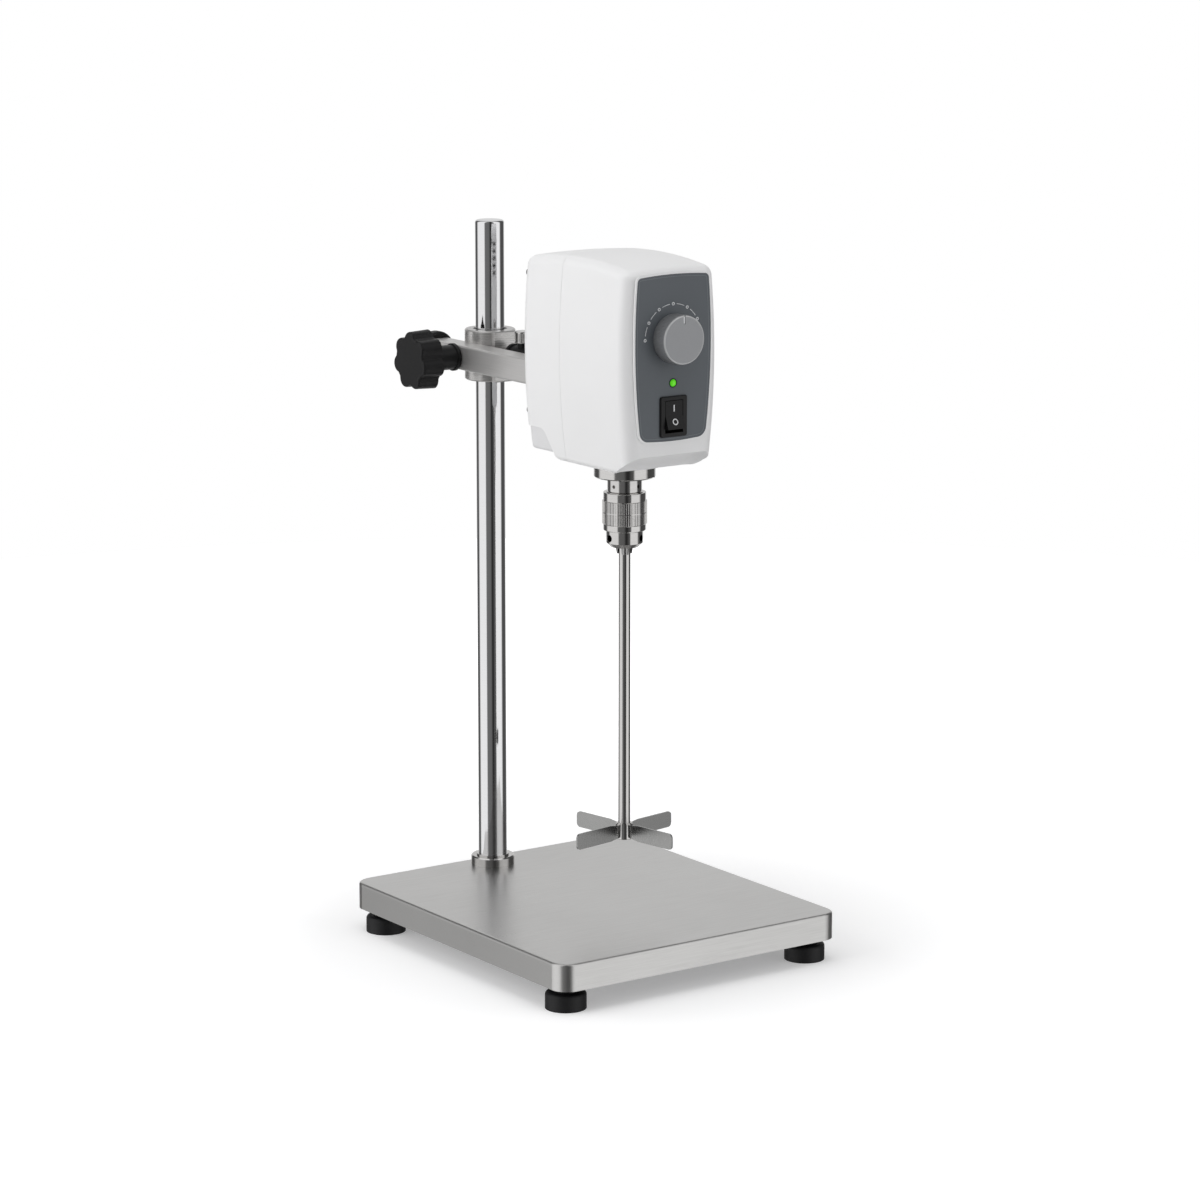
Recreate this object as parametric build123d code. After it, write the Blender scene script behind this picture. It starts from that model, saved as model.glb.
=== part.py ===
# Overhead stirrer on a rod stand: a motor head with a three-jaw chuck, a paddle impeller,
# a clamp that slides and turns on the column, and a weighted base on levelling feet.
# Millimetres, +Z up, control panel facing -Y, +X to the right seen from the front.
# The origin is on the bench, under the middle of the outer box.
import math
import os

from build123d import *

# ---------------------------------------------------------------- driving dimensions

# base plate: a folded steel cover over an iron core
plate_width = 228.0
plate_depth = 258.0
plate_thickness = 18.5
plate_corner = 12.0
plate_edge_round = 2.0
cover_wall = 1.5
core_gap = 0.5

# levelling feet
foot_height = 16.0
foot_radius = 13.75
foot_pad_height = 11.5
foot_neck_radius = 8.5
foot_edge_round = 2.5
foot_stud_radius = 4.0
foot_stud_depth = 14.0
foot_inset_x = 15.5
foot_inset_y = 18.5

# column
column_radius = 10.0
column_height = 456.0           # above the plate
column_round = 1.8
column_seat = 6.0               # depth of the column's end in the core
column_x = -8.6
column_to_rear_edge = 17.8
column_bolt_radius = 5.0
column_bolt_head_radius = 8.0
column_bolt_head_height = 5.0
column_bolt_reach = 22.0
collar_wall = 5.3
collar_height = 6.5
collar_lip_wall = 1.5
collar_lip_height = 1.2

# clamp ring and its guide bush
clamp_height = 363.5            # ring's middle above the plate
ring_wall = 5.95                # round the guide bush
ring_height = 35.0
ring_edge = 0.8
ring_pad_width = 17.5
ring_pad_proud = 2.0            # pad's face in front of the ring
bush_wall = 1.5

# arm bar with its end stop
arm_width = 16.0
arm_height = 17.0
arm_edge_round = 1.5
arm_gap = 1.45                  # bar's inner side to the guide bush
arm_tail = 32.0                 # bar's end behind the column axis
arm_grip = 19.0                 # bar's length inside the head
stop_radius = 13.2
stop_thickness = 9.0
stop_edge_round = 2.5

# support rod with its locking collar
rod_radius = 4.0
rod_rise = 3.0                  # rod's axis above the ring's middle
rod_seat = 6.0
lock_collar_front = 28.0        # collar's flange in front of the column axis
lock_flange_wall = 3.2
lock_flange_thickness = 3.0
lock_collar_wall = 2.2
lock_collar_length = 22.0
lock_screw_reach = 41.0         # screw's axis in front of the column axis
lock_screw_radius = 2.0
lock_head_radius = 6.0
lock_head_height = 8.4
lock_head_rise = 8.8            # head's underside above the rod's axis

# star knob and its clamp screw
star_lobes = 7
star_radius = 20.6
star_lobe_radius = 6.8
star_core_radius = 17.5
star_valley_round = 1.2
star_depth = 15.8
star_draft = 2.5
star_edge_round = 1.6
star_neck_radius = 8.5
star_neck_length = 18.7
star_flange_radius = 9.5
star_flange_thickness = 2.7
clamp_screw_radius = 4.0
clamp_tip_radius = 3.2
clamp_tip_length = 2.4

# motor head
reach = 160.7                   # column axis to stirring axis
housing_half_width = 38.8
housing_front = 53.5            # stirring axis to the front face
housing_back = 66.5             # stirring axis to the rear face
housing_height = 138.7          # floor to the top of the crowned lid
housing_waist = 75.2            # level above the floor at which the sides are widest
arm_level = 53.7                # arm's middle above the floor
side_bow_radius = 515.0
lid_bow_radius_y = 360.0
lid_bow_radius_x = 480.0
front_corner_round = 10.5
rear_corner_round = 9.0
lid_edge_round = 7.5
floor_edge_round = 4.0
housing_wall = 2.8
seam_back = 19.5                # seam behind the stirring axis
seam_gap = 0.2
seam_lip = 1.2
seam_lip_length = 3.0
floor_boss_margin = 5.5         # boss outside the bearing flange
floor_boss_drop = 1.4

# scooped chin under the panel
scoop_radius = 23.4
scoop_half_length = 36.0
scoop_end_round = 12.0
scoop_front = 2.2               # scoop's axis behind the front face
scoop_drop = 11.1               # scoop's axis below the floor

# notch under the rear with the inlet cover in it
notch_height = 20.2
notch_depth = 36.0              # from the rear face
notch_slope = 12.5
notch_round = 8.0
inlet_cover_inset = 1.2
inlet_cover_rise = 4.4          # cover's underside above the floor
inlet_cover_wall = 2.0
inlet_cover_round = 2.4
inlet_offset = 14.0
inlet_level = 7.5
inlet_radius = 5.0
inlet_flange = 1.2
inlet_bore = 3.0
inlet_pin_radius = 1.0

# ventilation slots
vent_count = 5
vent_width = 40.0
vent_height = 2.6
vent_pitch = 5.2
vent_drop = 38.7                # lowest slot below the crown

# panel, bezel bead and controls
panel_thickness = 1.5
panel_recess = 1.0
panel_bottom = 22.8             # above the floor
panel_top_margin = 9.7          # below the crown
panel_margin_bottom = 12.8      # inside the head's widest sides
panel_margin_waist = 8.6
panel_margin_top = 10.6
panel_waist = 85.0
panel_bow = 1.4
panel_round_bottom = 7.0
panel_round_top = 3.2
bead_width = 1.3
bead_height = 0.7
knob_level = 88.7
knob_radius = 16.0
knob_depth = 12.2
knob_edge = 0.7
pointer_width = 1.6
pointer_length = 5.5
pointer_depth = 0.7
dial_shaft_radius = 3.0
dial_body_size = 17.0
dial_body_depth = 9.0
dial_bush_radius = 4.5
dial_bore_depth = 7.0
led_level = 59.4
led_radius = 2.5
led_flange_radius = 3.4
led_length = 5.0
led_dome = 1.4
led_dome_radius = 3.2
switch_level = 37.6
switch_width = 21.3
switch_height = 26.8
switch_frame = 1.5              # frame's proud height
switch_body_width = 18.6
switch_body_height = 24.6
switch_body_depth = 15.0
rocker_width = 13.6
rocker_half_height = 9.3
rocker_tilt = 10.0
rocker_nose = 5.0               # pivot to the middle of the rocker's face
rocker_back = 1.5
rocker_gap = 0.4
rocker_pin_radius = 1.2
rocker_pin_length = 1.4

# spindle, bearings and motor
flange_drop = 9.7               # flange's underside below the floor
flange_margin = 2.3             # outside the circle of its screws
flange_edge = 0.8
flange_spigot_wall = 1.5        # round the bearing
flange_floor = 2.0
flange_screw_gap = 2.7          # circle of the screws outside the spigot
flange_screw_radius = 1.3
flange_screw_head = 2.1
flange_screw_count = 4
flange_screw_start = 45.0
spindle_radius = 6.0
bearing_radius = 14.0
bearing_width = 8.0
bearing_ring = 2.5
bearing_shield_step = 0.8
motor_radius = 26.5
motor_chamfer = 3.4
motor_wall = 2.0
motor_height = 62.0
motor_plate = 4.0
motor_hub_wall = 2.5            # round the upper bearing
stator_lift = 10.0
stator_bore = 14.0
stator_height = 30.0
stator_yoke = 3.5
stator_slots = 9
stator_tooth_width = 3.6
stator_shoe_width = 7.2
stator_shoe_depth = 1.2
coil_wall = 2.0
coil_end = 4.0
coil_gap = 0.7
magnet_count = 6
magnet_thickness = 2.9
magnet_angle = 52.0
rotor_gap = 0.6
spindle_stub = 3.0              # spindle's end above the motor
spindle_collar_radius = 11.5
collar_edge = 0.6
collar_hole_radius = 1.2
collar_hole_depth = 4.0
collar_hole_level = 46.4        # above the jaw tips
collar_hole_count = 4
collar_hole_start = 16.0

# three-jaw chuck; levels above the closed jaws' tips
chuck_drop = 61.7               # jaw tips below the head's floor
sleeve_wall = 1.9               # outside the nose
sleeve_grip_proud = 0.4
sleeve_bottom = 16.2
sleeve_top = 41.9
sleeve_grip_low = 20.4
sleeve_grip_high = 36.4
sleeve_round = 0.8
nut_proud = 0.7                 # outside the nose
nut_low = 17.9
nut_high = 23.4
nut_split = 0.4
nose_wall = 8.3                 # outside the stirring shaft
nose_bottom = 5.1
nose_chamfer = 2.8
chuck_bore_gap = 0.4            # bore round the stirring shaft
chuck_bore_top = 30.9
key_hole_radius = 2.4
key_hole_depth = 4.2
key_hole_level = 11.4
key_hole_start = 60.0
spindle_thread_radius = 5.0
jaw_count = 3
jaw_radius = 2.4
jaw_tilt = 12.0
jaw_top = 24.4
jaw_bite = 1.0                  # bar's middle inside the shaft's skin at the tip
jaw_travel = 5.0

# stirring shaft and impeller
shaft_radius = 4.0
shaft_top = 29.9                # above the jaw tips
shaft_length = 225.2
hub_wall = 1.6
hub_height = 11.1
hub_lip = 0.6
blade_count = 4
blade_radius = 45.0
blade_thickness = 1.1
blade_height = 10.9
blade_root_height = 8.6
blade_neck = 8.0                # the blade widens over this length
blade_tip_round = 3.0
blade_seat = 1.5
blade_start = 10.0

# clearances
running = 0.06                  # radial, between pieces that turn or slide in each other
sliding = 0.05                  # radial, guide bush on the column
touch = 0.1                     # between a screw's tip and what it locks
stand_off = 0.3                 # between a knob and the face behind it
overcut = 1.0                   # how far a cutting tool runs past the face it opens
small_chamfer = 0.4

# control board and internal fixings
board_width = 50.0
board_depth = 58.0
board_thickness = 1.6
board_lift = 11.0               # above the motor
board_post_radius = 2.5
board_post_inset = 11.0
capacitor_radius = 6.0
capacitor_height = 18.0
relay_size = 15.0
bracket_side_gap = 6.3          # inside the head's widest side
bracket_margin = 7.5            # beyond the support rod
bracket_corner = 3.0
bracket_height = 36.0
bracket_thickness = 10.0
bracket_screw_radius = 2.0
bracket_screw_head_radius = 3.5
bracket_screw_head_height = 3.0
bracket_screw_inset = 6.0
post_radius = 4.2
post_inset = 7.4                # inside the head's widest sides
post_low = 30.0
post_top_margin = 16.7          # below the crown
post_front_length = 14.0
case_screw_radius = 1.6
case_screw_head_radius = 3.0
case_screw_head_height = 2.2
case_screw_sink = 4.0
case_screw_grip = 12.5          # hole's depth in the front post

# ---------------------------------------------------------------- derived places

plate_top = foot_height + plate_thickness
rear_overhang = arm_tail + stop_thickness - column_to_rear_edge
plate_y = -rear_overhang / 2
column_y = plate_y + plate_depth / 2 - column_to_rear_edge
collar_radius = column_radius + collar_wall
collar_lip_radius = column_radius + collar_lip_wall
bush_outer_radius = column_radius + sliding + bush_wall
ring_radius = bush_outer_radius + ring_wall
ring_pad_reach = ring_radius + ring_pad_proud
ring_z = plate_top + clamp_height
arm_x = column_x - bush_outer_radius - arm_gap - arm_width / 2
arm_face_x = arm_x - arm_width / 2
rod_z = ring_z + rod_rise

shaft_x = column_x
shaft_y = column_y - reach
front_y = shaft_y - housing_front
back_y = shaft_y + housing_back
seam_y = shaft_y + seam_back
floor_z = ring_z - arm_level
crown_z = floor_z + housing_height
waist_z = floor_z + housing_waist
inner_floor_z = floor_z + housing_wall
inner_front_y = front_y + housing_wall
inner_back_y = back_y - housing_wall
panel_face_y = front_y + panel_recess - panel_thickness
boss_z = floor_z - floor_boss_drop
flange_z = floor_z - flange_drop
flange_spigot_radius = bearing_radius + flange_spigot_wall
flange_screw_circle = flange_spigot_radius + flange_screw_gap
flange_radius = flange_screw_circle + flange_margin
floor_boss_radius = flange_radius + floor_boss_margin
motor_hub_radius = bearing_radius + motor_hub_wall
motor_low = inner_floor_z
motor_top = motor_low + motor_height
stator_low = motor_low + stator_lift
rotor_radius = stator_bore - rotor_gap - magnet_thickness

chuck_z = floor_z - chuck_drop
nose_radius = shaft_radius + nose_wall
nut_radius = nose_radius + nut_proud
sleeve_radius = nose_radius + sleeve_wall
sleeve_grip_radius = sleeve_radius + sleeve_grip_proud
chuck_bore_radius = shaft_radius + chuck_bore_gap
jaw_tip_offset = shaft_radius - jaw_bite
shaft_end_z = chuck_z + shaft_top
hub_radius = shaft_radius + hub_wall

parts = {}

# ---------------------------------------------------------------- small helpers


def drum(radius, low, high, x=0.0, y=0.0):
    """Upright cylinder between two levels."""
    solid = Cylinder(radius, high - low, align=(Align.CENTER, Align.CENTER, Align.MIN))
    return Pos(x, y, low) * solid


def drum_x(radius, low, high, y, z):
    """Cylinder along X between two places."""
    solid = Cylinder(radius, high - low, align=(Align.CENTER, Align.CENTER, Align.MIN))
    return Pos(low, y, z) * Rot(0, 90, 0) * solid


def drum_y(radius, low, high, x, z):
    """Cylinder along Y between two places."""
    solid = Cylinder(radius, high - low, align=(Align.CENTER, Align.CENTER, Align.MIN))
    return Pos(x, low, z) * Rot(-90, 0, 0) * solid


def block(x, y, z):
    """Box from three (low, high) pairs."""
    solid = Box(x[1] - x[0], y[1] - y[0], z[1] - z[0], align=(Align.MIN, Align.MIN, Align.MIN))
    return Pos(x[0], y[0], z[0]) * solid


def turned(points, x=0.0, y=0.0):
    """Solid turned about an upright axis from (radius, level) points."""
    face = make_face(Plane.XZ * Polyline(*points, close=True))
    return Pos(x, y, 0) * revolve(face, Axis.Z)


def around(count, start=0.0):
    """Angles of an even pattern, in degrees."""
    return [start + 360.0 * i / count for i in range(count)]


def group(solids):
    """Separate solids kept in one node."""
    return Compound(children=[solid for one in solids for solid in one.solids()])


# ---------------------------------------------------------------- stand


def plate_blank(inset, low, high):
    sketch = RectangleRounded(plate_width - 2 * inset, plate_depth - 2 * inset, plate_corner - inset)
    return Pos(0, plate_y, low) * extrude(sketch, high - low)


def foot_places():
    x = plate_width / 2 - foot_inset_x
    y = plate_depth / 2 - foot_inset_y
    return {
        "front_left": (-x, plate_y - y),
        "front_right": (x, plate_y - y),
        "rear_left": (-x, plate_y + y),
        "rear_right": (x, plate_y + y),
    }


def make_base():
    cover = plate_blank(0, foot_height, plate_top)
    cover = fillet(cover.faces().sort_by(Axis.Z)[-1].edges(), plate_edge_round)
    cover -= plate_blank(cover_wall, foot_height, plate_top - cover_wall)
    cover -= drum(collar_radius + running, foot_height, plate_top, column_x, column_y)
    parts["base_cover"] = cover

    core_top = plate_top - cover_wall
    seat_z = core_top - column_seat
    core = plate_blank(cover_wall + core_gap, foot_height, core_top)
    core -= drum(column_radius, seat_z, core_top, column_x, column_y)
    core -= drum(column_bolt_radius, foot_height, seat_z, column_x, column_y)
    head_top = foot_height + column_bolt_head_height
    core -= drum(column_bolt_head_radius, foot_height, head_top, column_x, column_y)
    for x, y in foot_places().values():
        core -= drum(foot_stud_radius + running, foot_height, foot_height + foot_stud_depth, x, y)
    parts["base_core"] = core

    rod_top = plate_top + column_height
    column = drum(column_radius, seat_z, rod_top, column_x, column_y)
    column = fillet(column.edges().group_by(Axis.Z)[-1], column_round)
    column -= drum(column_bolt_radius, seat_z, seat_z + column_bolt_reach, column_x, column_y)
    parts["column_rod"] = column

    bolt = drum(column_bolt_head_radius, foot_height, head_top, column_x, column_y)
    bolt += drum(column_bolt_radius, head_top, seat_z + column_bolt_reach, column_x, column_y)
    parts["column_bolt"] = bolt

    lip_top = collar_height + collar_lip_height
    profile = [
        (column_radius, -cover_wall),
        (collar_radius, -cover_wall),
        (collar_radius, collar_height - ring_edge),
        (collar_radius - ring_edge, collar_height),
        (collar_lip_radius, collar_height),
        (collar_lip_radius, lip_top),
        (column_radius, lip_top),
    ]
    parts["column_collar"] = Pos(0, 0, plate_top) * turned(profile, column_x, column_y)


def make_feet():
    for name, (x, y) in foot_places().items():
        pad = drum(foot_radius, 0, foot_pad_height, x, y)
        pad = fillet(pad.edges().group_by(Axis.Z)[-1], foot_edge_round)
        pad += drum(foot_neck_radius, foot_pad_height, foot_height, x, y)
        stud_low = foot_pad_height / 2
        stud = drum(foot_stud_radius, stud_low, foot_height + foot_stud_depth - touch, x, y)
        parts["foot_pad_" + name] = pad - stud
        parts["foot_stud_" + name] = stud


# ---------------------------------------------------------------- clamp and arm


def make_clamp():
    low = ring_z - ring_height / 2
    high = ring_z + ring_height / 2
    bush = drum(bush_outer_radius, low, high, column_x, column_y)
    bush -= drum(column_radius + sliding, low, high, column_x, column_y)
    parts["guide_bush"] = bush

    half_pad = ring_pad_width / 2
    ring = drum(ring_radius, low, high, column_x, column_y)
    pad_x = (column_x - half_pad, column_x + half_pad)
    ring += block(pad_x, (column_y - ring_pad_reach, column_y), (low, high))
    rims = ring.edges().filter_by(GeomType.CIRCLE) + ring.edges().filter_by(GeomType.LINE)
    rims = rims.filter_by(lambda edge: abs(edge.center().Z - ring_z) > ring_height / 2 - touch)
    ring = chamfer(rims, ring_edge)
    ring -= drum(bush_outer_radius + running, low, high, column_x, column_y)
    ring -= arm_blank(column_y - 2 * ring_radius, column_y + 2 * ring_radius)
    ring -= clamp_bore(running)
    rod_end = column_y - ring_pad_reach + rod_seat
    ring -= drum_y(rod_radius, column_y - 2 * ring_radius, rod_end, column_x, rod_z)
    parts["clamp_ring"] = ring


def arm_blank(low, high):
    sketch = RectangleRounded(arm_width, arm_height, arm_edge_round)
    bar = Plane((arm_x, high, ring_z), x_dir=(1, 0, 0), z_dir=(0, -1, 0)) * sketch
    return extrude(bar, high - low)


def clamp_bore(gap):
    outer = arm_face_x - overcut
    return drum_x(clamp_screw_radius + gap, outer, column_x - column_radius, column_y, ring_z)


def make_arm():
    tail_y = column_y + arm_tail
    nose_y = back_y - arm_grip
    parts["arm_bar"] = arm_blank(nose_y, tail_y) - clamp_bore(running)
    stop = drum_y(stop_radius, tail_y, tail_y + stop_thickness, arm_x, ring_z)
    parts["arm_stop"] = fillet(stop.edges().filter_by(GeomType.CIRCLE), stop_edge_round)

    rod_back = column_y - ring_pad_reach + rod_seat
    rod_front = back_y - housing_wall - bracket_thickness
    parts["support_rod"] = drum_y(rod_radius, rod_front, rod_back, column_x, rod_z)

    flange_back = column_y - lock_collar_front
    flange_front = flange_back - lock_flange_thickness
    collar = drum_y(rod_radius + lock_flange_wall, flange_front, flange_back, column_x, rod_z)
    collar = chamfer(collar.edges().filter_by(GeomType.CIRCLE), small_chamfer)
    collar_front = flange_front - lock_collar_length
    collar += drum_y(rod_radius + lock_collar_wall, collar_front, flange_front, column_x, rod_z)
    screw_y = column_y - lock_screw_reach
    boss_top = rod_z + lock_head_rise - stand_off
    collar += drum(lock_screw_radius * 2, rod_z, boss_top, column_x, screw_y)
    collar -= drum_y(rod_radius, collar_front, flange_back, column_x, rod_z)
    collar -= drum(lock_screw_radius + running, rod_z, boss_top, column_x, screw_y)
    parts["support_collar"] = collar

    head_low = rod_z + lock_head_rise
    head = drum(lock_head_radius, head_low, head_low + lock_head_height, column_x, screw_y)
    head = fillet(head.edges().filter_by(GeomType.CIRCLE), ring_edge)
    head += drum(lock_screw_radius, rod_z + rod_radius + touch, head_low, column_x, screw_y)
    parts["lock_screw"] = head


def make_star_knob():
    flange_x = arm_face_x - stand_off
    neck_x = flange_x - star_flange_thickness
    body_x = neck_x - star_neck_length
    flange = drum_x(star_flange_radius, neck_x, flange_x, column_y, ring_z)
    flange = chamfer(flange.edges().filter_by(GeomType.CIRCLE), small_chamfer)

    outline = Circle(star_core_radius)
    for angle in around(star_lobes):
        outline += Rot(0, 0, angle) * Pos(star_radius - star_lobe_radius, 0) * Circle(star_lobe_radius)
    outline = fillet(outline.vertices(), star_valley_round)
    body = extrude(outline, star_depth, taper=star_draft)
    body = fillet(body.faces().sort_by(Axis.Z)[-1].edges(), star_edge_round)
    body = Plane((body_x, column_y, ring_z), x_dir=(0, 0, 1), z_dir=(-1, 0, 0)) * body
    knob = body + drum_x(star_neck_radius, body_x, neck_x, column_y, ring_z)
    screw_end = body_x - star_depth / 2
    knob += flange
    knob -= drum_x(clamp_screw_radius, screw_end, flange_x, column_y, ring_z)
    parts["star_knob"] = knob

    tip_face = column_x - bush_outer_radius - sliding
    tip_back = tip_face - clamp_tip_length
    parts["clamp_screw"] = drum_x(clamp_screw_radius, screw_end, tip_back, column_y, ring_z)
    parts["clamp_tip"] = drum_x(clamp_tip_radius, tip_back, tip_face, column_y, ring_z)


# ---------------------------------------------------------------- motor head shells


def bow(radius, offset):
    """Fall of an arc of this radius at this distance from its middle."""
    return radius - math.sqrt(radius * radius - offset * offset)


def side_corners(form):
    """Upright corner edges of the head, front ones first."""
    middle = (floor_z + crown_z) / 2
    upright = form.edges().filter_by(lambda edge: abs(edge.center().Z - middle) < housing_front / 2)
    return upright.group_by(Axis.Y)


def lid_dome(inset):
    """Barrel-shaped solid whose upper skin is the crowned lid."""
    half = (back_y - front_y) / 2 + housing_wall
    drop = lid_bow_radius_x - bow(lid_bow_radius_y, half)
    arc = ThreePointArc((-half, -drop), (0, -lid_bow_radius_x), (half, -drop))
    face = make_face(Plane.YZ * (arc + Polyline((half, -drop), (half, 0), (-half, 0), (-half, -drop))))
    middle = (front_y + back_y) / 2
    return Pos(shaft_x, middle, crown_z - inset - lid_bow_radius_x) * revolve(face, Axis.Y)


def housing_form(inset):
    """The head's outer form, drawn in by an inset on every side."""
    low = floor_z + inset
    top = crown_z + housing_wall
    half = housing_half_width - inset
    low_half = half - bow(side_bow_radius, waist_z - low)
    top_half = half - bow(side_bow_radius, top - waist_z)
    outline = (
        Line((-low_half, low), (low_half, low))
        + ThreePointArc((low_half, low), (half, waist_z), (top_half, top))
        + Line((top_half, top), (-top_half, top))
        + ThreePointArc((-top_half, top), (-half, waist_z), (-low_half, low))
    )
    back = Plane((shaft_x, back_y - inset, 0), x_dir=(1, 0, 0), z_dir=(0, -1, 0))
    form = extrude(back * make_face(outline), back_y - front_y - 2 * inset)
    form = fillet(side_corners(form)[0], front_corner_round - inset)
    form = fillet(side_corners(form)[-1], rear_corner_round - inset)
    form = form & lid_dome(inset)
    form = fillet(form.faces().sort_by(Axis.Z)[-1].edges(), lid_edge_round - inset)
    return fillet(form.faces().sort_by(Axis.Z)[0].edges(), floor_edge_round - inset)


def scoop(grow=0.0):
    """Rounded trough that hollows the chin."""
    radius = scoop_radius + grow
    half = scoop_half_length + grow
    tool = drum_x(radius, shaft_x - half, shaft_x + half, front_y + scoop_front, floor_z - scoop_drop)
    return fillet(tool.edges().filter_by(GeomType.CIRCLE), scoop_end_round + grow)


def notch(grow=0.0):
    """Stepped space under the rear of the head."""
    top = floor_z + notch_height + grow
    start = back_y - notch_depth - grow
    far = back_y + housing_wall
    near = start - 2 * notch_round
    level = floor_z - touch + grow
    low = floor_z - notch_round
    bend = FilletPolyline(
        (near, level), (start, level), (start + notch_slope, top), (far, top), radius=notch_round
    )
    rest = Polyline((far, top), (far, low), (near, low), (near, level))
    width = 2 * housing_half_width
    side = Plane((shaft_x - width / 2, 0, 0), x_dir=(0, 1, 0), z_dir=(1, 0, 0))
    return extrude(side * make_face(bend + rest), width)


def panel_sketch(grow=0.0):
    """Bowed outline of the control panel, in X and Z."""
    low = floor_z + panel_bottom - grow
    high = crown_z - panel_top_margin + grow
    waist = floor_z + panel_waist
    bottom = housing_half_width - panel_margin_bottom + grow
    middle = housing_half_width - panel_margin_waist + grow
    top = housing_half_width - panel_margin_top + grow
    outline = (
        ThreePointArc((-bottom, low), (0, low - panel_bow), (bottom, low))
        + ThreePointArc((bottom, low), (middle, waist), (top, high))
        + ThreePointArc((top, high), (0, high + panel_bow), (-top, high))
        + ThreePointArc((-top, high), (-middle, waist), (-bottom, low))
    )
    face = make_face(outline)
    face = fillet(face.vertices().sort_by(Axis.Y)[:2], panel_round_bottom + grow)
    return fillet(face.vertices().sort_by(Axis.Y)[-2:], panel_round_top + grow)


def panel_slab(low, high, grow=0.0):
    """The panel's outline as a slab between two places along Y."""
    face = Plane((shaft_x, high, 0), x_dir=(1, 0, 0), z_dir=(0, -1, 0)) * panel_sketch(grow)
    return extrude(face, high - low)


def front_window(low, high, grow=0.0):
    """Openings for the dial, the lamp and the switch, from low to high along Y."""
    dial = drum_y(dial_bush_radius + grow, low, high, shaft_x, floor_z + knob_level)
    lamp = drum_y(led_radius + grow, low, high, shaft_x, floor_z + led_level)
    half_x = switch_body_width / 2 + grow
    half_z = switch_body_height / 2 + grow
    middle = floor_z + switch_level
    switch = block((shaft_x - half_x, shaft_x + half_x), (low, high), (middle - half_z, middle + half_z))
    return [dial, lamp, switch]


def post_places():
    offset = housing_half_width - post_inset
    sides = (shaft_x - offset, shaft_x + offset)
    levels = (floor_z + post_low, crown_z - post_top_margin)
    return [(x, z) for x in sides for z in levels]


def make_housing():
    cavity = housing_form(housing_wall) - scoop(housing_wall) - notch(housing_wall)
    body = housing_form(0) - scoop() - notch()
    body += drum(floor_boss_radius, boss_z, inner_floor_z, shaft_x, shaft_y)
    shell = body - cavity
    beyond = 2 * housing_half_width

    lip_low = seam_y - seam_lip_length
    lip = housing_form(housing_wall - seam_lip) - cavity
    side = (shaft_x - beyond, shaft_x + beyond)
    lip &= block(side, (lip_low, seam_y + seam_gap), (floor_z, crown_z))
    tall = (boss_z - touch, crown_z + touch)
    front = shell & block(side, (front_y - touch, seam_y), tall)
    front -= lip
    rear = shell & block(side, (seam_y + seam_gap, back_y + touch), tall)
    rear += lip

    bead = panel_slab(front_y - bead_height, front_y + touch, bead_width)
    front += bead
    front -= panel_slab(front_y - bead_height, front_y + panel_recess)
    for opening in front_window(front_y, inner_front_y):
        front -= opening

    for x, z in post_places():
        front += drum_y(post_radius, seam_y - post_front_length, seam_y, x, z) & cavity
        rear += drum_y(post_radius, seam_y + seam_gap, inner_back_y, x, z) & cavity
        front -= drum_y(case_screw_radius, seam_y - case_screw_grip, seam_y, x, z)
        rear -= drum_y(case_screw_radius, seam_y, back_y, x, z)
        rear -= drum_y(case_screw_head_radius + running, back_y - case_screw_sink, back_y, x, z)

    well = drum(flange_spigot_radius, boss_z, inner_floor_z, shaft_x, shaft_y)
    front -= well
    for x, y in flange_screw_places():
        front -= drum(flange_screw_radius, boss_z, inner_floor_z, x, y)

    for i in range(vent_count):
        level = crown_z - vent_drop + i * vent_pitch
        slot = SlotOverall(vent_width, vent_height)
        wall = Plane((shaft_x, back_y, level), x_dir=(1, 0, 0), z_dir=(0, -1, 0)) * slot
        rear -= extrude(wall, housing_wall)
    rear -= arm_blank(inner_back_y - housing_wall, back_y + housing_wall)
    rear -= drum_y(rod_radius, inner_back_y - housing_wall, back_y + housing_wall, column_x, rod_z)
    parts["front_shell"] = front
    parts["rear_shell"] = rear


def make_fixings():
    z = (ring_z - bracket_height / 2, ring_z + bracket_height / 2)
    x = (shaft_x - housing_half_width + bracket_side_gap, column_x + rod_radius + bracket_margin)
    y = (inner_back_y - bracket_thickness, inner_back_y)
    bracket = block(x, y, z)
    corner = bracket.edges().filter_by(Axis.Z).filter_by(lambda edge: edge.center().Y > y[0] + touch)
    bracket = chamfer(corner.sort_by(Axis.X)[0], bracket_corner)
    bracket -= arm_blank(y[0] - overcut, y[1] + overcut)
    bracket -= drum_y(rod_radius, y[0] - overcut, y[1] + overcut, column_x, rod_z)
    screws = []
    for sx in (x[0] + bracket_corner + bracket_screw_inset, x[1] - bracket_screw_inset):
        for sz in (z[0] + bracket_screw_inset, z[1] - bracket_screw_inset):
            shank = drum_y(bracket_screw_radius, y[0], back_y - touch, sx, sz)
            head = drum_y(bracket_screw_head_radius, y[0] - bracket_screw_head_height, y[0], sx, sz)
            bracket -= drum_y(bracket_screw_radius, y[0] - overcut, back_y, sx, sz)
            parts["rear_shell"] -= shank
            screws.append(head + shank)
    parts["arm_bracket"] = bracket
    parts["bracket_screws"] = group(screws)

    screws = []
    for sx, sz in post_places():
        head_back = back_y - case_screw_sink + case_screw_head_height
        head = drum_y(case_screw_head_radius, back_y - case_screw_sink, head_back, sx, sz)
        tip = seam_y - case_screw_grip + stand_off
        screws.append(head + drum_y(case_screw_radius, tip, back_y - case_screw_sink, sx, sz))
    parts["case_screws"] = group(screws)


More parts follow.
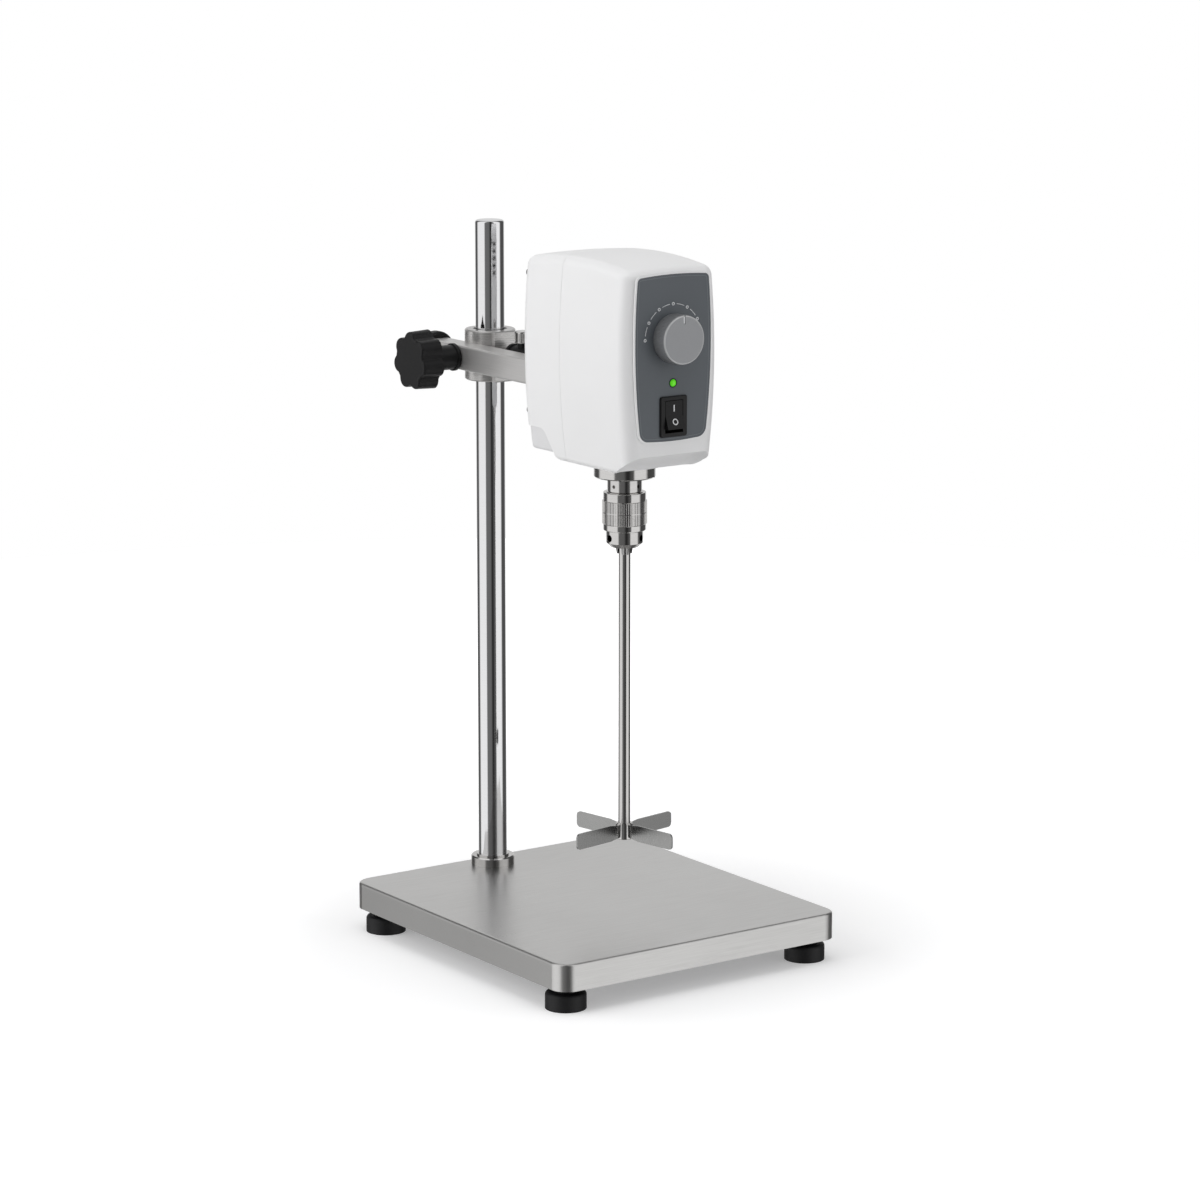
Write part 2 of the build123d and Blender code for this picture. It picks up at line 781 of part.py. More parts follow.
def make_inlet():
    low = floor_z + inlet_cover_rise
    side = (shaft_x - housing_half_width, shaft_x + housing_half_width)
    cover = housing_form(inlet_cover_inset) & notch()
    cover &= block(side, (front_y, back_y), (low, crown_z))
    cover = fillet(cover.faces().sort_by(Axis.Z)[0].edges(), inlet_cover_round)
    hollow = housing_form(inlet_cover_inset + inlet_cover_wall) & notch()
    hollow &= block(side, (front_y, back_y), (low + inlet_cover_wall, crown_z))
    cover -= hollow
    inlet_x = shaft_x + inlet_offset
    inlet_y = back_y - inlet_offset
    cover -= drum(inlet_radius, low, low + inlet_cover_wall, inlet_x, inlet_y)
    parts["inlet_cover"] = cover

    body = drum(inlet_radius, low, low + inlet_level, inlet_x, inlet_y)
    body += drum(inlet_radius + inlet_flange, low - inlet_flange, low, inlet_x, inlet_y)
    body -= drum(inlet_bore, low - inlet_flange, low + inlet_level - inlet_cover_wall, inlet_x, inlet_y)
    body += drum(inlet_pin_radius, low, low + inlet_level, inlet_x, inlet_y)
    parts["power_inlet"] = body


# ---------------------------------------------------------------- controls


def make_controls():
    panel = panel_slab(panel_face_y, front_y + panel_recess)
    for opening in front_window(panel_face_y, front_y + panel_recess):
        panel -= opening
    parts["control_panel"] = panel

    knob_z = floor_z + knob_level
    knob_back = panel_face_y - stand_off
    knob_front = knob_back - knob_depth
    knob = drum_y(knob_radius, knob_front, knob_back, shaft_x, knob_z)
    knob = fillet(knob.faces().sort_by(Axis.Y)[0].edges(), knob_edge)
    half = pointer_width / 2
    mark_low = knob_z + knob_radius - pointer_length
    knob -= block(
        (shaft_x - half, shaft_x + half),
        (knob_front, knob_front + pointer_depth),
        (mark_low, knob_z + knob_radius),
    )
    shaft_front = knob_back - knob_depth / 2
    knob -= drum_y(dial_shaft_radius, shaft_front, knob_back, shaft_x, knob_z)
    parts["speed_knob"] = knob
    shaft_back = inner_front_y + dial_bore_depth
    parts["dial_shaft"] = drum_y(dial_shaft_radius, shaft_front, shaft_back - touch, shaft_x, knob_z)

    half = dial_body_size / 2
    dial = block(
        (shaft_x - half, shaft_x + half),
        (inner_front_y, inner_front_y + dial_body_depth),
        (knob_z - half, knob_z + half),
    )
    dial += drum_y(dial_bush_radius, panel_face_y, inner_front_y, shaft_x, knob_z)
    dial -= drum_y(dial_shaft_radius + running, panel_face_y, shaft_back, shaft_x, knob_z)
    parts["potentiometer"] = dial

    led_z = floor_z + led_level
    reach_back = inner_front_y + led_length - panel_face_y
    wall = inner_front_y - panel_face_y
    outline = RadiusArc((0, led_dome), (led_radius, 0), led_dome_radius)
    outline += Polyline(
        (led_radius, 0),
        (led_radius, -wall),
        (led_flange_radius, -wall),
        (led_flange_radius, -wall - led_dome),
        (led_radius, -wall - led_dome),
        (led_radius, -reach_back),
        (0, -reach_back),
        (0, led_dome),
    )
    lens = revolve(make_face(Plane.XZ * outline), Axis.Z)
    parts["led_lens"] = Pos(shaft_x, panel_face_y, led_z) * Rot(90, 0, 0) * lens
    make_switch()


def make_switch():
    middle = floor_z + switch_level
    face_y = panel_face_y - switch_frame
    pivot_y = face_y + rocker_nose
    proud = rocker_nose + rocker_half_height * math.tan(math.radians(rocker_tilt))
    end_radius = math.hypot(rocker_half_height, proud)
    half_x = switch_width / 2
    half_z = switch_height / 2
    x = (shaft_x - half_x, shaft_x + half_x)
    frame = block(x, (face_y, panel_face_y), (middle - half_z, middle + half_z))
    frame = fillet(frame.edges().filter_by(Axis.Y), pointer_width)
    frame = chamfer(frame.faces().sort_by(Axis.Y)[0].edges(), switch_frame / 3)
    half_x = switch_body_width / 2
    half_z = switch_body_height / 2
    x = (shaft_x - half_x, shaft_x + half_x)
    back = panel_face_y + switch_body_depth
    body = frame + block(x, (panel_face_y, back), (middle - half_z, middle + half_z))
    wide = rocker_width / 2 + rocker_gap
    room = drum_x(end_radius + rocker_gap, shaft_x - wide, shaft_x + wide, pivot_y, middle)
    room &= block(
        (shaft_x - wide, shaft_x + wide),
        (face_y - end_radius, pivot_y + end_radius / 2),
        (middle - end_radius - overcut, middle + end_radius + overcut),
    )
    body -= room
    pin_half = rocker_width / 2 + rocker_pin_length
    hole = pin_half + stand_off
    body -= drum_x(rocker_pin_radius + running, shaft_x - hole, shaft_x + hole, pivot_y, middle)
    parts["switch_body"] = body

    half = rocker_half_height
    outline = Polyline(
        (-rocker_nose, 0),
        (-proud, half),
        (rocker_back, half),
        (rocker_back, -half),
        (-proud, -half),
        close=True,
    )
    side = Plane((-rocker_width / 2, 0, 0), x_dir=(0, 1, 0), z_dir=(1, 0, 0))
    rocker = extrude(side * make_face(outline), rocker_width)
    rocker += drum_x(rocker_pin_radius, -pin_half, pin_half, 0, 0)
    parts["rocker"] = Pos(shaft_x, pivot_y, middle) * Rot(-rocker_tilt, 0, 0) * rocker


# ---------------------------------------------------------------- spindle and motor


def flange_screw_places():
    places = []
    for angle in around(flange_screw_count, flange_screw_start):
        turn = math.radians(angle)
        x = shaft_x + flange_screw_circle * math.cos(turn)
        y = shaft_y + flange_screw_circle * math.sin(turn)
        places.append((x, y))
    return places


def make_flange():
    flange = drum(flange_radius, flange_z, boss_z, shaft_x, shaft_y)
    flange = chamfer(flange.faces().sort_by(Axis.Z)[0].edges(), flange_edge)
    flange += drum(flange_spigot_radius, boss_z, inner_floor_z, shaft_x, shaft_y)
    flange -= drum(bearing_radius, flange_z + flange_floor, inner_floor_z, shaft_x, shaft_y)
    flange -= drum(spindle_radius + stand_off, flange_z, inner_floor_z, shaft_x, shaft_y)
    screws = []
    head_z = flange_z + flange_floor
    for x, y in flange_screw_places():
        screw = drum(flange_screw_head, flange_z + touch, head_z, x, y)
        screw += drum(flange_screw_radius, head_z, motor_low + motor_plate, x, y)
        flange -= drum(flange_screw_head, flange_z, head_z, x, y)
        flange -= drum(flange_screw_radius, head_z, boss_z, x, y)
        screws.append(screw)
    parts["bearing_flange"] = flange
    parts["flange_screws"] = group(screws)


def make_bearings():
    outer = []
    races = []
    inner = spindle_radius + bearing_ring
    for low in (flange_z + flange_floor, motor_top - bearing_width):
        high = low + bearing_width
        step = bearing_shield_step
        profile = [
            (bearing_radius, low),
            (bearing_radius, high),
            (bearing_radius - bearing_ring, high),
            (bearing_radius - bearing_ring, high - step),
            (inner + running, high - step),
            (inner + running, low + step),
            (bearing_radius - bearing_ring, low + step),
            (bearing_radius - bearing_ring, low),
        ]
        outer.append(turned(profile, shaft_x, shaft_y))
        race = drum(inner, low + touch, high, shaft_x, shaft_y)
        races.append(race - drum(spindle_radius, low, high, shaft_x, shaft_y))
    parts["bearings"] = group(outer)
    parts["bearing_races"] = group(races)


def make_motor():
    inside = motor_radius - motor_wall
    bottom_bore = spindle_radius + bearing_ring
    frame = drum(motor_radius, motor_low, motor_top, shaft_x, shaft_y)
    frame = chamfer(frame.faces().sort_by(Axis.Z)[0].edges(), motor_chamfer)
    frame -= drum(inside, motor_low + motor_plate, motor_top - motor_plate, shaft_x, shaft_y)
    frame += drum(motor_hub_radius, motor_top - bearing_width, motor_top, shaft_x, shaft_y)
    frame -= drum(bottom_bore, motor_low, motor_low + motor_plate, shaft_x, shaft_y)
    frame -= drum(bearing_radius, motor_top - bearing_width, motor_top, shaft_x, shaft_y)
    for x, y in flange_screw_places():
        frame -= drum(flange_screw_radius, motor_low, motor_low + motor_plate, x, y)
    parts["motor_frame"] = frame

    core = Circle(inside) - Circle(inside - stator_yoke)
    yoke = inside - stator_yoke
    tooth = yoke - stator_bore
    for angle in around(stator_slots):
        arm = Rectangle(tooth + overcut, stator_tooth_width)
        core += Rot(0, 0, angle) * Pos(stator_bore + tooth / 2, 0) * arm
        shoe = Pos(stator_bore + stator_shoe_depth, 0) * Rectangle(2 * stator_shoe_depth, stator_shoe_width)
        core += Rot(0, 0, angle) * shoe
    core -= Circle(stator_bore)
    parts["stator_core"] = Pos(shaft_x, shaft_y, stator_low) * extrude(core, stator_height)

    coils = []
    length = tooth - 2 * stator_shoe_depth - 2 * coil_gap
    width = stator_tooth_width + 2 * coil_wall
    for angle in around(stator_slots):
        coil = Box(length, width, stator_height + 2 * coil_end)
        coil -= Box(length, stator_tooth_width, stator_height)
        place = Rot(0, 0, angle) * Pos(yoke - length / 2 - coil_gap, 0, 0)
        coils.append(Pos(shaft_x, shaft_y, stator_low + stator_height / 2) * place * coil)
    parts["stator_coils"] = group(coils)

    core = drum(rotor_radius, stator_low, stator_low + stator_height, shaft_x, shaft_y)
    rotor_bore = drum(spindle_radius, stator_low, stator_low + stator_height, shaft_x, shaft_y)
    parts["rotor_core"] = core - rotor_bore
    magnets = []
    outer = rotor_radius + magnet_thickness
    half = math.radians(magnet_angle / 2)
    far = outer * 2
    corner_x = far * math.cos(half)
    corner_y = far * math.sin(half)
    wedge = make_face(Polyline((0, 0), (corner_x, -corner_y), (corner_x, corner_y), close=True))
    tile = (Circle(outer) - Circle(rotor_radius)) & wedge
    for angle in around(magnet_count):
        magnets.append(Pos(shaft_x, shaft_y, stator_low) * Rot(0, 0, angle) * extrude(tile, stator_height))
    parts["rotor_magnets"] = group(magnets)


def make_spindle():
    collar_low = chuck_z + sleeve_top + stand_off
    collar_high = flange_z - stand_off
    thread_low = chuck_z + chuck_bore_top + overcut
    spindle = drum(spindle_radius, collar_low, motor_top + spindle_stub, shaft_x, shaft_y)
    collar = drum(spindle_collar_radius, collar_low, collar_high, shaft_x, shaft_y)
    collar = chamfer(collar.edges().filter_by(GeomType.CIRCLE), collar_edge)
    spindle += collar
    spindle += drum(spindle_thread_radius, thread_low, collar_low, shaft_x, shaft_y)
    hole = drum_x(
        collar_hole_radius,
        spindle_collar_radius - collar_hole_depth,
        spindle_collar_radius + overcut,
        0,
        chuck_z + collar_hole_level,
    )
    for angle in around(collar_hole_count, collar_hole_start):
        spindle -= Pos(shaft_x, shaft_y, 0) * Rot(0, 0, angle) * hole
    parts["spindle"] = spindle


# ---------------------------------------------------------------- three-jaw chuck


def jaw_line(level):
    """Distance of a jaw's middle from the chuck axis at a level above the tips."""
    return jaw_tip_offset + level * math.tan(math.radians(jaw_tilt))


def jaw_bar(radius, low, high):
    """Inclined round bar between two levels, leaning outward along +X."""
    along = (jaw_line(high) - jaw_line(low), 0, high - low)
    lean = Plane((jaw_line(low), 0, low), x_dir=(0, 1, 0), z_dir=along)
    length = (high - low) / math.cos(math.radians(jaw_tilt))
    return extrude(lean * Circle(radius), length)


def at_chuck(solid, angle=0.0):
    return Pos(shaft_x, shaft_y, chuck_z) * Rot(0, 0, angle) * solid


def nut_bore(level, gap):
    """Radius of the nut's cone where it meets the jaws."""
    return jaw_line(level) + jaw_radius / math.cos(math.radians(jaw_tilt)) + gap


def make_chuck():
    top = sleeve_top + stand_off
    body = drum(nose_radius, nose_bottom, top)
    body = chamfer(body.faces().sort_by(Axis.Z)[0].edges(), nose_chamfer)
    body -= drum(chuck_bore_radius, nose_bottom, chuck_bore_top)
    body -= drum(spindle_thread_radius, chuck_bore_top, top)
    groove = [
        (nut_radius + overcut, nut_low - stand_off),
        (nut_bore(nut_low, -stand_off), nut_low - stand_off),
        (nut_bore(nut_high, -stand_off), nut_high + stand_off),
        (nut_radius + overcut, nut_high + stand_off),
    ]
    body -= turned(groove)
    slot_top = jaw_top + jaw_travel + overcut
    slot = jaw_bar(jaw_radius + sliding, nose_bottom - nose_chamfer, slot_top)
    key_hole_end = nose_radius + overcut
    key_hole = drum_x(key_hole_radius, nose_radius - key_hole_depth, key_hole_end, 0, key_hole_level)
    for angle in around(jaw_count):
        body -= Rot(0, 0, angle) * slot
    for angle in around(jaw_count, key_hole_start):
        body -= Rot(0, 0, angle) * key_hole
    parts["chuck_body"] = at_chuck(body)

    jaw = jaw_bar(jaw_radius, -nose_chamfer, jaw_top)
    jaw -= drum(nose_radius, -2 * nose_chamfer, 0)
    grip = shaft_radius + touch / 2
    span = (-overcut, jaw_top + overcut)
    jaw -= block((-nose_radius, grip), (-jaw_radius * 2, jaw_radius * 2), span)
    for index, angle in enumerate(around(jaw_count), 1):
        parts["jaw_" + str(index)] = at_chuck(jaw, angle)

    high = nut_high
    nut = turned([
        (nut_radius, nut_low),
        (nut_bore(nut_low, running), nut_low),
        (nut_bore(high, running), high),
        (nut_radius, high),
    ])
    nut -= block((-nut_radius, nut_radius), (-nut_split / 2, nut_split / 2), (nut_low, high))
    parts["chuck_nut"] = at_chuck(nut)

    bore = nose_radius + running
    sleeve = turned([
        (nut_radius, sleeve_bottom),
        (sleeve_radius, sleeve_bottom),
        (sleeve_radius, sleeve_grip_low),
        (sleeve_grip_radius, sleeve_grip_low + sleeve_grip_radius - sleeve_radius),
        (sleeve_grip_radius, sleeve_grip_high - sleeve_grip_radius + sleeve_radius),
        (sleeve_radius, sleeve_grip_high),
        (sleeve_radius, sleeve_top),
        (bore, sleeve_top),
        (bore, nut_high),
        (nut_radius, nut_high),
    ])
    rims = sleeve.edges().filter_by(GeomType.CIRCLE)
    outer = rims.filter_by(lambda edge: abs(edge.radius - sleeve_radius) < touch)
    sleeve = fillet(outer.group_by(Axis.Z)[0], sleeve_round)
    rims = sleeve.edges().filter_by(GeomType.CIRCLE)
    outer = rims.filter_by(lambda edge: abs(edge.radius - sleeve_radius) < touch)
    sleeve = fillet(outer.group_by(Axis.Z)[-1], sleeve_round / 2)
    parts["chuck_sleeve"] = at_chuck(sleeve)


# ---------------------------------------------------------------- stirring shaft and impeller


def make_impeller():
    low = shaft_end_z - shaft_length
    high = low + hub_height
    shaft = drum(shaft_radius, low + hub_lip, shaft_end_z, shaft_x, shaft_y)
    shaft = chamfer(shaft.faces().sort_by(Axis.Z)[-1].edges(), hub_lip)
    parts["stirring_shaft"] = shaft

    hub = drum(hub_radius, low, high - hub_lip, shaft_x, shaft_y)
    hub = fillet(hub.faces().sort_by(Axis.Z)[0].edges(), hub_lip)
    hub += drum(hub_radius - hub_lip, high - hub_lip, high, shaft_x, shaft_y)
    hub -= drum(shaft_radius, low + hub_lip, high, shaft_x, shaft_y)

    root = hub_radius - blade_seat
    neck = hub_radius + blade_neck
    half_root = blade_root_height / 2
    half_tip = blade_height / 2
    outline = Polyline(
        (root, -half_root),
        (hub_radius, -half_root),
        (neck, -half_tip),
        (blade_radius, -half_tip),
        (blade_radius, half_tip),
        (neck, half_tip),
        (hub_radius, half_root),
        (root, half_root),
        close=True,
    )
    face = make_face(outline)
    face = fillet(face.vertices().group_by(Axis.X)[-1], blade_tip_round)
    upright = Plane((0, blade_thickness / 2, 0), x_dir=(1, 0, 0), z_dir=(0, -1, 0))
    blade = extrude(upright * face, blade_thickness)
    blades = []
    for angle in around(blade_count, blade_start):
        placed = Pos(shaft_x, shaft_y, low + half_tip) * Rot(0, 0, angle) * blade
        hub -= placed
        blades.append(placed)
    parts["impeller_hub"] = hub
    parts["impeller_blades"] = group(blades)


# ---------------------------------------------------------------- control board


def make_board():
    low = motor_top + board_lift
    top = low + board_thickness
    half_x = board_width / 2
    half_y = board_depth / 2
    board = block((shaft_x - half_x, shaft_x + half_x), (shaft_y - half_y, shaft_y + half_y), (low, top))
    posts = []
    for side_x in (-1, 1):
        for side_y in (-1, 1):
            x = shaft_x + side_x * (half_x - board_post_inset)
            y = shaft_y + side_y * (half_y - board_post_inset)
            posts.append(drum(board_post_radius, motor_top, low, x, y))
    parts["control_board"] = board
    parts["board_posts"] = group(posts)

    cap_x = shaft_x - half_x / 2
    pieces = []
    for side_y in (-1, 1):
        y = shaft_y + side_y * (capacitor_radius + overcut)
        pieces.append(drum(capacitor_radius, top, top + capacitor_height, cap_x, y))
    relay = block(
        (cap_x - relay_size / 2, cap_x + relay_size / 2),
        (shaft_y + half_y - relay_size, shaft_y + half_y - overcut),
        (top, top + relay_size),
    )
    pieces.append(relay)
    parts["board_parts"] = group(pieces)


# ---------------------------------------------------------------- build and write


def main():
    make_base()
    make_feet()
    make_clamp()
    make_arm()
    make_star_knob()
    make_housing()
    make_fixings()
    make_inlet()
    make_controls()
    make_flange()
    make_bearings()
    make_motor()
    make_spindle()
    make_chuck()
    make_impeller()
    make_board()
    os.makedirs("parts", exist_ok=True)
    for name, solid in parts.items():
        solid.label = name
        export_step(solid, os.path.join("parts", name + ".step"))


main()
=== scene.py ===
import bpy
import bmesh
import math
from mathutils import Matrix, Vector, geometry


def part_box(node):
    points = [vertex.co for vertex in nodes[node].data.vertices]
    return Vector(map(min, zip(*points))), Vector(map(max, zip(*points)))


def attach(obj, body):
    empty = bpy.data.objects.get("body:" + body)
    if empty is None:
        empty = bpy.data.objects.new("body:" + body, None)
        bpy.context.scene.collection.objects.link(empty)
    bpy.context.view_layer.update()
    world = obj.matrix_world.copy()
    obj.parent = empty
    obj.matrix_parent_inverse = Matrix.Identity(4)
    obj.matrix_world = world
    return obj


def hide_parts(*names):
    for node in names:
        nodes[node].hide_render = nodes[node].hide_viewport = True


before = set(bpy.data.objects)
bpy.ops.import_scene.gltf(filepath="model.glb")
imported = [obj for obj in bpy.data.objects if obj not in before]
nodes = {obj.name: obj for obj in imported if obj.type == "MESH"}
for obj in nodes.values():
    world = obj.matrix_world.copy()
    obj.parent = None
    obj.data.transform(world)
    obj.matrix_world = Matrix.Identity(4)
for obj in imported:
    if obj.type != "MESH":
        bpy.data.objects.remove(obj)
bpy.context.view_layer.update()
mm = 0.001
print("frame loaded,", len(nodes), "nodes")


def middleOf(name):
    low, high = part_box(name)
    return (Vector(low) + Vector(high)) / 2


def lowOf(name):
    return Vector(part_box(name)[0])


def highOf(name):
    return Vector(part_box(name)[1])


spindleAxis = middleOf("spindle")
panelFaceY = lowOf("control_panel").y
knobAxis = middleOf("speed_knob")
upright = Matrix.Rotation(math.radians(90), 4, "X")
acrossX = Matrix.Rotation(math.radians(90), 4, "Y")


def addNode(tree, kind, values=None, **settings):
    node = tree.nodes.new(kind)
    for name, value in settings.items():
        setattr(node, name, value)
    for name, value in (values or {}).items():
        node.inputs[name].default_value = value
    return node


def join(tree, source, target):
    tree.links.new(source, target)


def maths(tree, operation, first, second=None):
    node = addNode(tree, "ShaderNodeMath", operation=operation)
    for index, value in enumerate((first, second)):
        if value is None:
            continue
        if isinstance(value, (int, float)):
            node.inputs[index].default_value = value
        else:
            join(tree, value, node.inputs[index])
    return node.outputs["Value"]


def newGroup(name, inputs, outputs):
    # inputs and outputs are name -> (socket kind, value)
    group = bpy.data.node_groups.new(name, "ShaderNodeTree")
    for label, (kind, value) in inputs.items():
        socket = group.interface.new_socket(label, in_out="INPUT", socket_type=kind)
        if value is not None:
            socket.default_value = value
    for label, kind in outputs.items():
        group.interface.new_socket(label, in_out="OUTPUT", socket_type=kind)
    return group, addNode(group, "NodeGroupInput"), addNode(group, "NodeGroupOutput")


def useGroup(tree, group, vector, values):
    node = addNode(tree, "ShaderNodeGroup", node_tree=group)
    join(tree, vector, node.inputs["Vector"])
    for name, value in values.items():
        node.inputs[name].default_value = value
    return node


def makeGrainGroup():
    # fine moulded grain: a small bump and a slight change of shade
    group, source, result = newGroup(
        "Moulded grain",
        {
            "Vector": ("NodeSocketVector", None),
            "Grain size": ("NodeSocketFloat", 900.0),
            "Depth": ("NodeSocketFloat", 0.1),
            "Patch size": ("NodeSocketFloat", 14.0),
        },
        {"Grain": "NodeSocketFloat", "Patch": "NodeSocketFloat", "Normal": "NodeSocketVector"},
    )
    grain = addNode(group, "ShaderNodeTexNoise", {"Detail": 4.0, "Roughness": 0.6})
    join(group, source.outputs["Vector"], grain.inputs["Vector"])
    join(group, source.outputs["Grain size"], grain.inputs["Scale"])
    patch = addNode(group, "ShaderNodeTexNoise", {"Detail": 3.0, "Roughness": 0.5})
    join(group, source.outputs["Vector"], patch.inputs["Vector"])
    join(group, source.outputs["Patch size"], patch.inputs["Scale"])
    bump = addNode(group, "ShaderNodeBump", {"Distance": 0.0002})
    join(group, source.outputs["Depth"], bump.inputs["Strength"])
    join(group, grain.outputs["Fac"], bump.inputs["Height"])
    join(group, grain.outputs["Fac"], result.inputs["Grain"])
    join(group, patch.outputs["Fac"], result.inputs["Patch"])
    join(group, bump.outputs["Normal"], result.inputs["Normal"])
    return group


def makeBrushGroup():
    # long thin streaks, as a belt or a lathe tool leaves them
    group, source, result = newGroup(
        "Brushed streaks",
        {
            "Vector": ("NodeSocketVector", None),
            "Streak scale": ("NodeSocketVector", (1.0, 1.0, 1.0)),
            "Depth": ("NodeSocketFloat", 0.1),
            "Smudge size": ("NodeSocketFloat", 9.0),
        },
        {"Streak": "NodeSocketFloat", "Smudge": "NodeSocketFloat", "Normal": "NodeSocketVector"},
    )
    stretch = addNode(group, "ShaderNodeVectorMath", operation="MULTIPLY")
    join(group, source.outputs["Vector"], stretch.inputs[0])
    join(group, source.outputs["Streak scale"], stretch.inputs[1])
    streak = addNode(group, "ShaderNodeTexNoise", {"Scale": 1.0, "Detail": 5.0, "Roughness": 0.65})
    join(group, stretch.outputs["Vector"], streak.inputs["Vector"])
    smudge = addNode(group, "ShaderNodeTexNoise", {"Detail": 4.0, "Roughness": 0.55, "Distortion": 0.4})
    join(group, source.outputs["Vector"], smudge.inputs["Vector"])
    join(group, source.outputs["Smudge size"], smudge.inputs["Scale"])
    bump = addNode(group, "ShaderNodeBump", {"Distance": 0.0001})
    join(group, source.outputs["Depth"], bump.inputs["Strength"])
    join(group, streak.outputs["Fac"], bump.inputs["Height"])
    join(group, streak.outputs["Fac"], result.inputs["Streak"])
    join(group, smudge.outputs["Fac"], result.inputs["Smudge"])
    join(group, bump.outputs["Normal"], result.inputs["Normal"])
    return group


grainGroup = makeGrainGroup()
brushGroup = makeBrushGroup()


def newMaterial(name):
    material = bpy.data.materials.new(name)
    material.use_nodes = True
    tree = material.node_tree
    shader = tree.nodes["Principled BSDF"]
    coords = addNode(tree, "ShaderNodeTexCoord")
    return material, tree, shader, coords.outputs["Object"]


def spread(tree, value, low, high):
    # turns a 0..1 pattern into a span of values
    ends = {"From Min": 0.3, "From Max": 0.7, "To Min": low, "To Max": high}
    span = addNode(tree, "ShaderNodeMapRange", ends)
    join(tree, value, span.inputs["Value"])
    return span.outputs["Result"]


def blendColours(tree, factor, first, second):
    mix = addNode(tree, "ShaderNodeMix", data_type="RGBA")
    mix.inputs["A"].default_value = (*first, 1.0)
    mix.inputs["B"].default_value = (*second, 1.0)
    join(tree, factor, mix.inputs["Factor"])
    return mix.outputs["Result"]


def centreOn(tree, coords, place):
    # the pattern's own middle
    centred = addNode(tree, "ShaderNodeMapping")
    centred.inputs["Location"].default_value = -place
    join(tree, coords, centred.inputs["Vector"])
    return centred


def distanceFrom(tree, centred, directions):
    # how far a point is from the middle, counted only along the given directions
    flat = addNode(tree, "ShaderNodeVectorMath", operation="MULTIPLY")
    flat.inputs[1].default_value = directions
    join(tree, centred.outputs["Vector"], flat.inputs[0])
    reach = addNode(tree, "ShaderNodeVectorMath", operation="LENGTH")
    join(tree, flat.outputs["Vector"], reach.inputs[0])
    return reach


def plasticMaterial(name, colour, shade, rough, grainDepth=0.15, grainSize=900.0, specular=0.5):
    # moulded plastic: faint patches of shade, fine grain, uneven gloss
    material, tree, shader, coords = newMaterial(name)
    grain = useGroup(tree, grainGroup, coords, {"Grain size": grainSize, "Depth": grainDepth})
    darker = tuple(channel * shade for channel in colour)
    patches = spread(tree, grain.outputs["Patch"], 0, 1)
    join(tree, blendColours(tree, patches, colour, darker), shader.inputs["Base Color"])
    join(tree, spread(tree, grain.outputs["Grain"], *rough), shader.inputs["Roughness"])
    join(tree, grain.outputs["Normal"], shader.inputs["Normal"])
    shader.inputs["Specular IOR Level"].default_value = specular
    return material


# what a smudge takes from or adds to a metal's roughness
smudgeSpan = (-0.02, 0.04)


def metalMaterial(name, colour, shade, rough, streakScale, depth=0.2, smudge=9.0, metallic=1.0):
    # metal with streaks along its finishing direction and soft smudges in its gloss
    material, tree, shader, coords = newMaterial(name)
    sizes = {"Streak scale": streakScale, "Depth": depth, "Smudge size": smudge}
    brush = useGroup(tree, brushGroup, coords, sizes)
    darker = tuple(channel * shade for channel in colour)
    streaks = spread(tree, brush.outputs["Streak"], 0, 1)
    join(tree, blendColours(tree, streaks, colour, darker), shader.inputs["Base Color"])
    gloss = spread(tree, brush.outputs["Streak"], *rough)
    smears = spread(tree, brush.outputs["Smudge"], *smudgeSpan)
    join(tree, maths(tree, "ADD", gloss, smears), shader.inputs["Roughness"])
    join(tree, brush.outputs["Normal"], shader.inputs["Normal"])
    shader.inputs["Metallic"].default_value = metallic
    return material


alongX = (40.0, 2600.0, 2600.0)
alongY = (2600.0, 40.0, 2600.0)
aroundZ = (60.0, 60.0, 4200.0)

